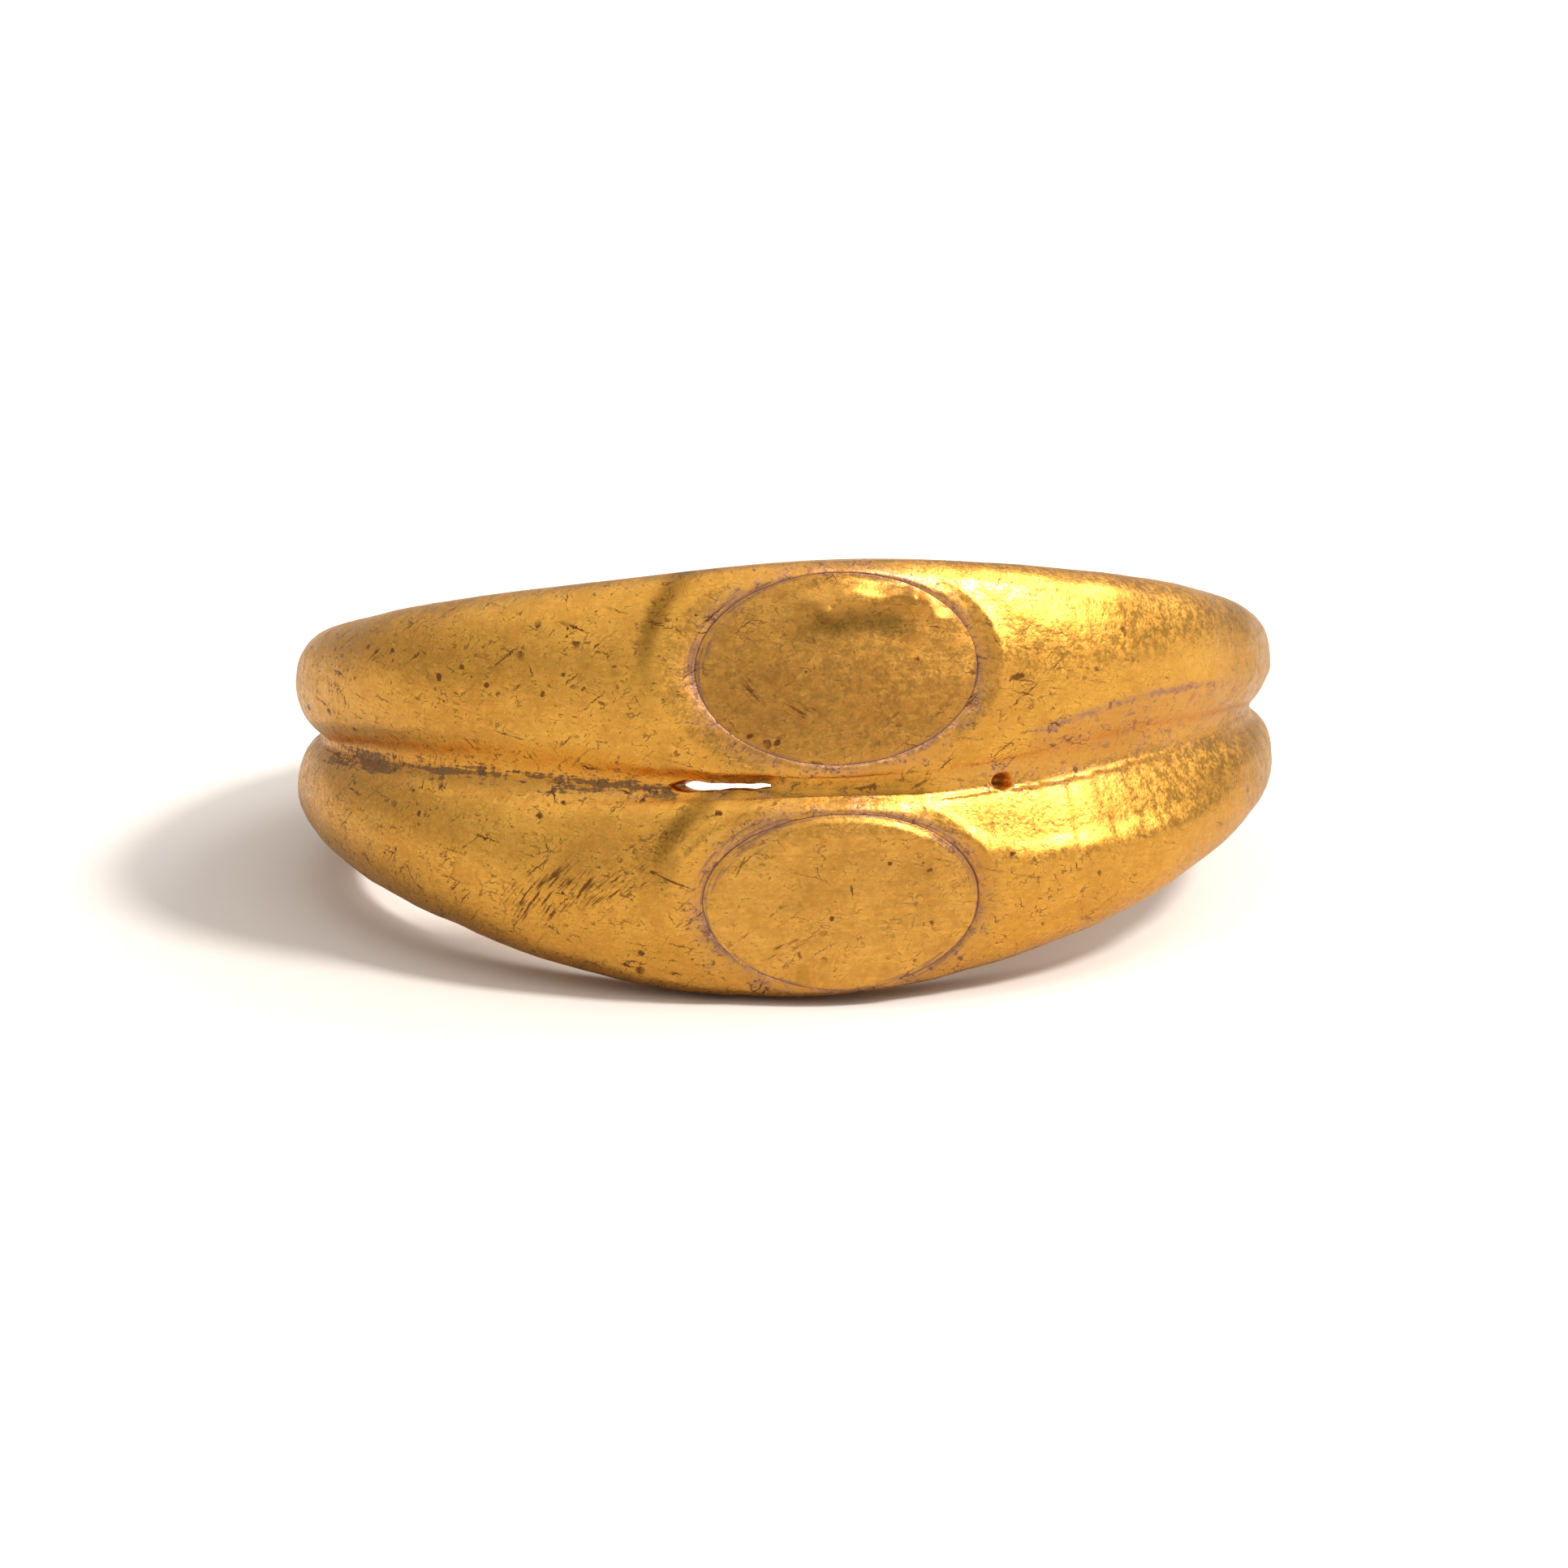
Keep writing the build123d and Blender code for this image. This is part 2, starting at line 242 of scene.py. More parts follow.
def hoopRows(side, shares):
    # one hoop's section from its bore edge to the solder, as radius and height for every column
    width = hoops["hoopWidth"] * shares["upper" if side > 0 else "lower"]
    thickness = hoops["hoopThickness"] * shares["thickness"] - hoops["skinIn"]
    crown = hoops["crownRadius"] * shares["crown"]
    jointEdge = hoops["edgeRadius"] * shares["upperJoint" if side > 0 else "lowerJoint"]
    outerEdge = np.minimum(hoops["edgeRadius"] * shares["outerEdge"], hoops["outerEdgeShare"] * width)
    lean = np.radians(hoops["bezelLean"] * shares["lean"])
    shift = hoops["jointShift"] * shares["shift"]
    middle = thickness - crown

    def edgeHeight(edge):
        return middle + np.sqrt((crown - edge) ** 2 - (width / 2 - edge) ** 2)

    def place(high, across):
        radius = hoops["boreRadius"] + high * np.cos(lean)[:, None] - across * np.sin(lean)[:, None]
        height = high * np.sin(lean)[:, None] + across * np.cos(lean)[:, None]
        return radius, side * height + shift[:, None]

    def turn(high, across, radius, start, end, count, first=1):
        angle = sweep(start, end, count + 1, first)
        arm = radius[:, None]
        return place(high[:, None] + arm * np.cos(angle), across[:, None] + arm * np.sin(angle))

    jointHigh, outerHigh = edgeHeight(jointEdge), edgeHeight(outerEdge)
    outerAcross = width - outerEdge
    jointAngle = np.arctan2(jointEdge - width / 2, jointHigh - middle)
    outerAngle = np.arctan2(outerAcross - width / 2, outerHigh - middle)
    upright = np.full_like(width, np.pi / 2)
    solderAngle = np.radians(hoops["solderWrap"] * shares["wrap"] - 90)
    boreHigh = width * np.tan(lean)
    cut = np.minimum(hoops["boreEdge"], hoops["boreEdgeShare"] * outerHigh)
    sideHigh = sweep(boreHigh + cut, outerHigh, hoops["sideRows"])
    sideRows = place(sideHigh, np.repeat(width[:, None], sideHigh.shape[1], 1))
    corner = np.array(place(boreHigh[:, None], width[:, None]))[:, :, 0]
    foot = np.array(sideRows)[:, :, 0]
    inner = np.array([corner[0], corner[1] - side * cut])
    share = np.linspace(0, 1, hoops["boreEdgeRows"] + 1)[:-1]
    weights = ((1 - share) ** 2, 2 * share * (1 - share), share**2)
    edgeRows = [
        weights[0] * inner[k][:, None] + weights[1] * corner[k][:, None] + weights[2] * foot[k][:, None]
        for k in (0, 1)
    ]
    parts = [
        edgeRows,
        sideRows,
        turn(outerHigh, outerAcross, outerEdge, upright, outerAngle, hoops["outerRows"]),
        turn(middle, width / 2, crown, outerAngle, jointAngle, hoops["crownRows"]),
        turn(jointHigh, jointEdge, jointEdge, jointAngle, solderAngle, hoops["jointRows"]),
    ]
    radius = np.concatenate([part[0] for part in parts], 1)
    height = np.concatenate([part[1] for part in parts], 1)
    return radius, height


def slitHeights(angles):
    # lower and upper lip of the slit at every column, and how far along its half length that is
    along = np.radians(angles - slit["middle"]) * slit["atRadius"] / (slit["length"] / 2)
    run = np.clip(along, -1, 1)
    least, leastLeft = slit["leastOpen"]
    tall = slit["tall"] + (slit["low"] - slit["tall"]) * easeStep(*slit["narrows"], run)
    ends = np.sqrt(np.clip(1 - np.abs(run) ** slit["endPower"], least, 1))
    ends = ends * np.clip((run + 1) / slit["leftTaper"], leastLeft, 1) ** slit["leftPower"]
    uneven = sum(size * np.sin(run * pace + start) for size, pace, start in slit["uneven"])
    lowLip = slit["offset"] - tall / 2 * ends + uneven * ends
    highLip = slit["offset"] + tall / 2 * ends + slit["highUneven"] * uneven * ends
    return lowLip, highLip, np.abs(along)


def solderRows(angles, shares, upper, lower):
    # the solder's hollow from the upper hoop down to the lower one, with the slit's lips in the middle
    topRadius, topHeight = upper[0][:, -1], upper[1][:, -1]
    lowRadius, lowHeight = lower[0][:, -1], lower[1][:, -1]
    halfGap = (topHeight - lowHeight) / 2
    deep = halfGap * np.tan(np.radians(90 - hoops["solderWrap"] * shares["wrap"]) / 2)
    middle = (topHeight + lowHeight) / 2
    lowLip, highLip, slitShare = slitHeights(angles)
    away = easeStep(*slit["closes"], slitShare)
    lowLip = lowLip * (1 - away) + (middle - slit["closed"]) * away
    highLip = highLip * (1 - away) + (middle + slit["closed"]) * away

    def hollow(height):
        share = np.clip((height - lowHeight[:, None]) / (2 * halfGap)[:, None], 0, 1)
        chord = lowRadius[:, None] + (topRadius - lowRadius)[:, None] * share
        return chord - deep[:, None] * 4 * share * (1 - share)

    high = sweep(topHeight, highLip, hoops["solderRows"] + 1, 1)
    low = sweep(lowLip, lowHeight, hoops["solderRows"] + 1)[:, :-1]
    return np.concatenate([hollow(high), hollow(low)], 1), np.concatenate([high, low], 1), slitShare < 1


def hoopsGrid():
    # every point of the hoops as a grid: a column for each angle, a row for each place in the section
    angles = ringColumns()
    shares = sectionShares(angles)
    upper, lower = hoopRows(1, shares), hoopRows(-1, shares)
    valleyRadius, valleyHeight, opened = solderRows(angles, shares, upper, lower)
    fall = tan(radians(slit["pitch"])) * (slit["atRadius"] - hoops["boreRadius"])
    lowLip, highLip, _ = slitHeights(angles)
    boreLow = sweep(lower[1][:, 0], lowLip - fall, hoops["boreRows"] + 1)[:, 1:]
    boreHigh = sweep(highLip - fall, upper[1][:, 0], hoops["boreRows"] + 1)[:, :-1]
    bore = np.concatenate([boreLow, boreHigh], 1)
    boreRadius = np.full_like(bore, hoops["boreRadius"])
    radius = np.concatenate([upper[0], valleyRadius, lower[0][:, ::-1], boreRadius], 1)
    height = np.concatenate([upper[1], valleyHeight, lower[1][:, ::-1], bore], 1)
    upperEnd = upper[0].shape[1]
    valleyEnd = upperEnd + valleyRadius.shape[1]
    marks = {
        "upperEnd": upperEnd, "middleRow": upperEnd + hoops["solderRows"], "valleyEnd": valleyEnd,
        "lowerEnd": valleyEnd + lower[0].shape[1], "rows": radius.shape[1], "opened": opened,
        "skinStart": hoops["boreEdgeRows"] + hoops["sideRows"],
    }
    around = np.radians(angles)[:, None]
    points = np.stack([radius * np.sin(around), -radius * np.cos(around), height], -1)
    return angles, points, marks


def bezelAxes(plate):
    # the plate's own frame: middle of its foot, along, across and out
    front = dict(zip(hoopShares, hoopStations[0]))
    lean = radians(hoops["bezelLean"] * front["lean"])
    shift = hoops["jointShift"] * front["shift"]
    out = np.array([0, -cos(lean), plate["side"] * sin(lean)])
    across = np.cross(out, [1, 0, 0])
    outward = -plate["offset"] * sin(lean)
    upward = plate["offset"] * cos(lean)
    foot = np.array([plate["shift"], -(hoops["boreRadius"] + outward), plate["side"] * upward + shift])
    return foot, np.array([1.0, 0, 0]), across, out


def ovalRim(plate, turn):
    # points on the plate's oval rim and the directions that point straight out from them
    a, b = plate["length"] / 2, plate["width"] / 2
    rimU, rimV = a * np.cos(turn), b * np.sin(turn)
    tilt = np.hypot(rimU / a**2, rimV / b**2)
    return rimU, rimV, rimU / a**2 / tilt, rimV / b**2 / tilt


def ovalDistance(u, v, plate):
    # millimetres from the plate's oval rim, less than nought inside
    a, b = plate["length"] / 2, plate["width"] / 2
    t = np.arctan2(v * a, u * b)
    for _ in range(6):
        x, y = a * np.cos(t), b * np.sin(t)
        evoluteX = (a * a - b * b) * np.cos(t) ** 3 / a
        evoluteY = (b * b - a * a) * np.sin(t) ** 3 / b
        armX, armY = x - evoluteX, y - evoluteY
        toX, toY = u - evoluteX, v - evoluteY
        arm, to = np.hypot(armX, armY), np.hypot(toX, toY) + 1e-9
        t = t + np.arcsin(np.clip((armX * toY - armY * toX) / (arm * to), -1, 1)) * arm / sqrt(a * b)
    x, y = a * np.cos(t), b * np.sin(t)
    inside = (u / a) ** 2 + (v / b) ** 2 < 1
    return np.where(inside, -1, 1) * np.hypot(u - x, v - y)


def plateTop(u, v, plate):
    return plate["middleHeight"] - u**2 / (2 * plate["endFall"]) - v**2 / (2 * plate["sideFall"])


def moatFall(u, v, e, plate):
    # how far the hoop's face falls towards the seam, with a soft ridge at the moat's outer edge
    turn = np.arctan2(v / plate["width"], u / plate["length"])
    endways = np.cos(turn) ** 2
    reach = np.where(u < 0, plate["moatLeft"], plate["moatRight"]) * endways
    reach = reach + plate["moatSide"] * (1 - endways)
    deep = plate["moatDeepEnd"] * endways + plate["moatDeepSide"] * (1 - endways)
    s = np.clip(e / reach, 0, 3)
    flare = (1 - np.minimum(s, 1)) ** plate["moatCurve"]
    return deep * flare - plate["ridge"] * endways * bump(s, plate["ridgeAt"], plate["ridgeWidth"])


def readGrid(grid, i, j):
    # the grid's value between its points, smooth in both directions
    def weights(t):
        inner = (3 * t - 5) * t * t + 2, ((4 - 3 * t) * t + 1) * t
        return np.stack([((2 - t) * t - 1) * t, *inner, (t - 1) * t * t], -1) / 2

    i0, j0 = np.floor(i).astype(int), np.floor(j).astype(int)
    wi, wj = weights(i - i0), weights(j - j0)
    total = 0
    for a in range(4):
        for b in range(4):
            value = grid[(i0 + a - 1) % grid.shape[0], (j0 + b - 1) % grid.shape[1]]
            total = total + (wi[..., a] * wj[..., b])[..., None] * value
    return total


def findOnGrid(points, axes, block, u, v):
    # the place in the grid whose point stands over (u, v) on the plate's plane
    foot, along, across, _ = axes
    (iLow, iHigh), (jLow, jHigh) = block
    i = np.full(u.shape, (iLow + iHigh) / 2.0)
    j = np.full(u.shape, (jLow + jHigh) / 2.0)
    for _ in range(14):
        here = readGrid(points, i, j) - foot
        aside = readGrid(points, i + 0.5, j) - foot
        above = readGrid(points, i, j + 0.5) - foot
        du, dv = u - here @ along, v - here @ across
        ui, vi = (aside - here) @ along * 2, (aside - here) @ across * 2
        uj, vj = (above - here) @ along * 2, (above - here) @ across * 2
        size = ui * vj - uj * vi
        i = np.clip(i + np.clip((du * vj - dv * uj) / size, -20, 20), iLow, iHigh)
        j = np.clip(j + np.clip((dv * ui - du * vi) / size, -6, 6), jLow, jHigh)
    return i, j


def pocketRings(points, plate, block):
    # rings of points from the edge of a block of the grid in to the seam and down to the seat
    axes = bezelAxes(plate)
    foot, along, across, out = axes
    (iLow, iHigh), (jLow, jHigh) = block
    border = [(i, jLow) for i in range(iLow, iHigh)] + [(iHigh, j) for j in range(jLow, jHigh)]
    border += [(i, jHigh) for i in range(iHigh, iLow, -1)] + [(iLow, j) for j in range(jHigh, jLow, -1)]
    border = np.array(border)
    edge = points[border[:, 0], border[:, 1]] - foot
    turn = np.arctan2((edge @ across) * (plate["length"] / 2), (edge @ along) * (plate["width"] / 2))
    rimU, rimV, outU, outV = ovalRim(plate, turn)
    seamOpen, ringCount = plate["seamOpen"], plate["pocketRings"]
    i, j = findOnGrid(points, axes, block, rimU + outU * seamOpen, rimV + outV * seamOpen)
    lip = readGrid(points, i, j)
    lipLocal = lip - foot
    atSeam = np.full(len(i), seamOpen)
    lipHeight = lipLocal @ out - moatFall(lipLocal @ along, lipLocal @ across, atSeam, plate)
    fromProud = (ovalTurn(rimU, rimV, plate) - plate["proudAt"] + 180) % 360
    proud = plate["proud"] * bump(fromProud, 180, plate["proudWidth"])
    correction = lipHeight - plateTop(rimU, rimV, plate) + proud
    lipHeight = lipHeight - correction
    rings, distances = [], []
    for k in range(1, ringCount):
        share = (k / ringCount) ** 0.8
        column, row = border[:, 0] + (i - border[:, 0]) * share, border[:, 1] + (j - border[:, 1]) * share
        at = readGrid(points, column, row)
        local = at - foot
        e = ovalDistance(local @ along, local @ across, plate)
        fall = moatFall(local @ along, local @ across, e, plate) + correction * easeStep(plate["lipEase"], 0.0, e)
        at = at - fall[:, None] * out
        rings.append(at)
        distances.append(e)
    seam = np.minimum(lipHeight, plateTop(rimU, rimV, plate)) - plate["seamDeep"]
    floorHeight = np.full(len(i), plate["seatHeight"] - plate["seatGap"])

    def addRing(e, height, share=1.0):
        u, v = (rimU + outU * e) * share, (rimV + outV * e) * share
        rings.append(foot + u[:, None] * along + v[:, None] * across + height[:, None] * out)
        distances.append(np.full(len(i), e if share == 1.0 else -1.5))

    for share in (1.0, 0.75, 0.5, 0.25, 0.0):
        e = plate["rimGap"] + (seamOpen - plate["rimGap"]) * share
        addRing(e, seam + (lipHeight - seam) * share**0.7)
    for share in (0.3, 0.7, 1.0):
        addRing(plate["rimGap"], seam + (floorHeight - seam) * share)
    for share in (0.8, 0.45, 0.0):
        addRing(0.0, floorHeight, share)
    return border, rings, distances


def skinPlaces(points):
    # millimetres along the ring and across it, for scratches and stains that have a place of their own
    around = np.arctan2(points[:, 0], -points[:, 1])
    return np.stack([around * hoops["skinRadius"], points[:, 2], np.hypot(points[:, 0], points[:, 1])], -1)


def ovalTurn(u, v, plate):
    # degrees round the oval, from its right end over its top
    return np.degrees(np.arctan2(v / plate["width"], u / plate["length"])) % 360


def seamShareAt(u, v, plate):
    # how much dirt the seam holds at each angle round the oval
    turn = ovalTurn(u, v, plate)
    dirt = sum(share * bump(turn, middle, width) for middle, width, share in plate["dirtAt"])
    return np.clip(plate["leastDirt"] + dirt, 0, 1)


def meshPiece(name, points, faces, floats, places):
    mesh = bpy.data.meshes.new(name)
    mesh.from_pydata(toFloor(points).tolist(), [], faces)
    mesh.validate()
    mesh.polygons.foreach_set("use_smooth", [True] * len(mesh.polygons))
    for label, values in floats.items():
        layer = mesh.attributes.new(label, "FLOAT", "POINT")
        layer.data.foreach_set("value", np.asarray(values, np.float32))
    layer = mesh.attributes.new("skinPlace", "FLOAT_VECTOR", "POINT")
    layer.data.foreach_set("vector", np.asarray(places, np.float32).ravel())
    mesh.update()
    piece = bpy.data.objects.new(name, mesh)
    bpy.context.scene.collection.objects.link(piece)
    return piece


def surfaceNormals(points):
    along = np.roll(points, -1, 0) - np.roll(points, 1, 0)
    over = np.roll(points, -1, 1) - np.roll(points, 1, 1)
    normal = np.cross(along, over)
    normal /= np.linalg.norm(normal, axis=-1, keepdims=True) + 1e-12
    outward = np.stack([points[..., 0], points[..., 1], np.zeros(points.shape[:-1])], -1)
    row = hoops["solderRow"]
    facing = np.sign(np.sum(normal[:, row] * outward[:, row], -1).mean())
    return normal * facing


def jointAt(turn):
    knots = sorted(jointPlaces)
    return [np.interp(turn, knots, [jointPlaces[knot][i] for knot in knots]) for i in range(3)]


def jointShaping(points, marks):
    # the upper hoop's underside is a hollow slope that ends in a crisp line on the lower hoop; between the
    # two ovals the joint is nearly full of solder
    turn = turnOf(points)
    steps = np.linalg.norm(np.diff(points, axis=1), axis=2)
    run = np.concatenate([np.zeros((len(points), 1)), np.cumsum(steps, 1)], 1)
    middle, rows = marks["middleRow"], np.arange(marks["rows"])
    up = np.where(rows < middle, run[:, middle - 1:middle] - run, run[:, middle:middle + 1] - run)
    border, line, deep = jointAt(turn)
    share = np.clip((up - line) / (border - line), 0, 1)
    shape = -joint["hollow"] * deep * share**joint["footPower"] * (1 - share) ** joint["borderPower"]
    shape += joint["rim"] * deep * bump(up, border + joint["rimUp"], joint["rimWidth"])
    filling = sum(
        high * within(turn, window) * bump(up, place, width) for high, window, place, width in joint["fillings"]
    )
    onJoint = (rows > joint["edgeRows"]) & (rows < marks["lowerEnd"] - joint["edgeRows"])
    return shape * onJoint, filling * onJoint, up


def flattenShoulder(points, up):
    # a flat worn facet on the lower hoop, from the foot of the joint down its right shoulder
    turn = turnOf(points)[:, hoops["solderRow"]]
    for i in np.nonzero((turn > facet["turn"][0]) & (turn < facet["turn"][3]))[0]:
        angle = turn[i]
        start = float(jointAt(angle)[1])
        end = start - facet["narrow"] - facet["widening"] * easeStep(*facet["widens"], angle)
        rows = np.nonzero((up[i] < start + facet["overlap"]) & (up[i] > end))[0]
        first, last = points[i, rows[0]], points[i, rows[-1]]
        crest = np.array([sin(radians(angle)), -cos(radians(angle)), 0]) * within(angle, facet["crestTurn"])
        first, last = first - facet["sunk"] * crest, last + facet["raised"] * crest
        share = (up[i, rows[0]] - up[i, rows]) / (up[i, rows[0]] - up[i, rows[-1]])
        strength = facet["strength"] * within(angle, facet["turn"]) * easeStep(*facet["fade"], share)
        flat = first[None, :] * (1 - share)[:, None] + last[None, :] * share[:, None]
        points[i, rows] += strength[:, None] * (flat - points[i, rows])
    return points


def roughenSkin(points, marks):
    # hand-worked waves on the outer skin, and the blow-hole in the solder
    normal = surfaceNormals(points)
    rows, start = np.arange(marks["rows"]), marks["skinStart"]
    end = marks["lowerEnd"] - start
    skin = easeStep(start - 6, start + 4, rows) * (1 - easeStep(end - 4, end + 6, rows))
    waves = hoops["handWave"] * (handWaves(points, *hoops["handWaves"]) - hoops["handSunk"])
    waves += hoops["hammerWave"] * handWaves(points, *hoops["hammerWaves"])
    shape, filling, up = jointShaping(points, marks)
    points = points + normal * (waves * skin[None, :] + shape)[..., None]
    swell = 1 + filling / np.hypot(points[..., 0], points[..., 1])
    points = flattenShoulder(scaledOut(points, swell), up)
    radius = np.hypot(points[..., 0], points[..., 1])
    along = (np.arctan2(points[..., 0], -points[..., 1]) - radians(blowHole["angle"])) * radius
    away = np.hypot(along, (points[..., 2] - blowHole["across"]) * blowHole["squash"]) / blowHole["radius"]
    sink = blowHole["deep"] * np.exp(-(away ** blowHole["steep"]) * blowHole["fall"])
    sink = sink * (radius > hoops["boreRadius"] + blowHole["above"])
    return scaledOut(points, (radius - sink) / radius), up


# stains, painted shade and painted warm reflection by their place: along the skin from the front's middle and up
# from the joint's middle, in mm;
# a window of four values eases in over the first two and out over the last two
stains = {
    "crustLeft": 0.6, "crustLeftAlong": (-16.5, -14.5, -4.0, -3.2), "crustBetween": 0.25,
    "crustBetweenAlong": (-2.6, -1.2, 1.6, 3.0), "crustBack": 0.3, "crustBackAlong": (17.0, 20.0),
    "crustThick": 0.14, "crustThicker": 0.22, "thickerAlong": (-9.0, -13.0),
    "crustLump": 0.2, "lumpAlong": (-5.2, 1.3), "crustRaised": 0.14, "raisedAlong": (-3.0, -4.0),
    "crustTop": (0.1, -0.02), "crustFoot": (0.3, 0.04), "crustFade": 0.6,
    "mauveBorder": 0.75, "mauveBorderAlong": (3.5, 5.0, 9.0, 13.0), "mauveBorderUp": (0.1, 0.13),
    "mauveSlope": 0.4, "mauveSlopeAlong": (1.6, 3.4, 10.0, 14.0), "mauveSlopeFoot": (-0.05, 0.1),
    "mauveSlopeTop": (0.2, -0.1), "mauveLine": 0.3, "mauveLineWidth": 0.3,
    "lowEdgeShade": 0.22, "lowEdgeShadeHeight": (-3.3, -4.3), "lowEdgeShadeRise": 0.11, "lowEdgeShadeAlong": (7.0, 2.0),
    "betweenOvals": (-3.6, -1.4, 1.6, 3.4), "shadowFlat": 0.25, "shadowFlatUp": (-0.9, -0.7, 0.2, 0.5),
    "shadowRidge": 0.7, "shadowRidgeUp": (-0.38, 0.36), "endShadeRight": 0.5, "endShadeRightAlong": (7.5, 14.0),
    "endShadeLeft": 0.22, "endShadeLeftAlong": (-7.5, -14.0),
    "reflectionLeftAlong": (-17.5, -14.0, -3.6, -1.4), "reflectionRight": 0.2, "reflectionRightAlong": (1.6, 4.2, 12.0, 18.0),
    "reflectionShare": (-0.06, 0.08, 0.7, 1.12), "reflectionBetween": 0.35, "reflectionBetweenUp": (-0.1, 0.6),
}


def alongJoint(places):
    # millimetres along the skin, and the upper border and foot line of the joint's slope there
    along = places[:, 0]
    border, line, _ = jointAt(np.degrees(along / hoops["skinRadius"]))
    return along, border, line


def valleyDeposit(places, up):
    # dark deposit along the foot of the joint: thick on the left, in specks in the middle, thin at the back
    along, _, line = alongJoint(places)
    amount = stains["crustLeft"] * within(along, stains["crustLeftAlong"])
    amount += stains["crustBetween"] * within(along, stains["crustBetweenAlong"])
    amount += stains["crustBack"] * easeStep(*stains["crustBackAlong"], np.abs(along))
    thick = stains["crustThick"] + stains["crustThicker"] * easeStep(*stains["thickerAlong"], along)
    thick += stains["crustLump"] * bump(along, *stains["lumpAlong"])
    up = up - stains["crustRaised"] * easeStep(*stains["raisedAlong"], along)
    (topStart, topFull), (footStart, footFull) = stains["crustTop"], stains["crustFoot"]
    foot = easeStep(line - thick - footStart, line - footFull, up) ** stains["crustFade"]
    return amount * easeStep(line + topStart, line + topFull, up) * foot


def mauveTinge(places, up):
    # mauve along the border of the right slope and faintly in the joint
    along, border, line = alongJoint(places)
    above, width = stains["mauveBorderUp"]
    edge = stains["mauveBorder"] * bump(up, border + above, width)
    edge = edge * within(along, stains["mauveBorderAlong"])
    slope = stains["mauveSlope"] * within(along, stains["mauveSlopeAlong"])
    (footStart, footFull), (topStart, topFull) = stains["mauveSlopeFoot"], stains["mauveSlopeTop"]
    slope = slope * easeStep(line + footStart, line + footFull, up)
    slope = slope * easeStep(border + topStart, border + topFull, up)
    faint = stains["mauveLine"] * bump(up, line, stains["mauveLineWidth"])
    return np.maximum(np.maximum(edge, slope), faint)


def shadeToPaint(places, up):
    # painted shade: darker on the low outer edge, a painted shadow of the upper hoop between the two ovals, and
    # darker at the two far ends
    along, height = places[:, 0], places[:, 1]
    height = height - stains["lowEdgeShadeRise"] * np.abs(along)
    low = stains["lowEdgeShade"] * easeStep(*stains["lowEdgeShadeHeight"], height)
    low = low * easeStep(*stains["lowEdgeShadeAlong"], along)
    flat = stains["shadowFlat"] * within(up, stains["shadowFlatUp"])
    ridge = stains["shadowRidge"] * bump(up, *stains["shadowRidgeUp"])
    middle = within(along, stains["betweenOvals"]) * (flat + ridge)
    ends = stains["endShadeRight"] * easeStep(*stains["endShadeRightAlong"], along)
    return low + middle + ends + stains["endShadeLeft"] * easeStep(*stains["endShadeLeftAlong"], along)


def warmReflectionAt(places, up):
    # painted warm reflection: the joint's slope and the metal between the ovals are painted more orange than the
    # faces, standing in for gold reflected in gold
    along, border, line = alongJoint(places)
    slope = within(along, stains["reflectionLeftAlong"])
    slope = slope + stains["reflectionRight"] * within(along, stains["reflectionRightAlong"])
    slope = slope * within((up - line) / (border - line), stains["reflectionShare"])
    middle = stains["reflectionBetween"] * within(along, stains["betweenOvals"])
    middle = middle * bump(up, *stains["reflectionBetweenUp"])
    return np.clip(slope + middle, 0, 1)


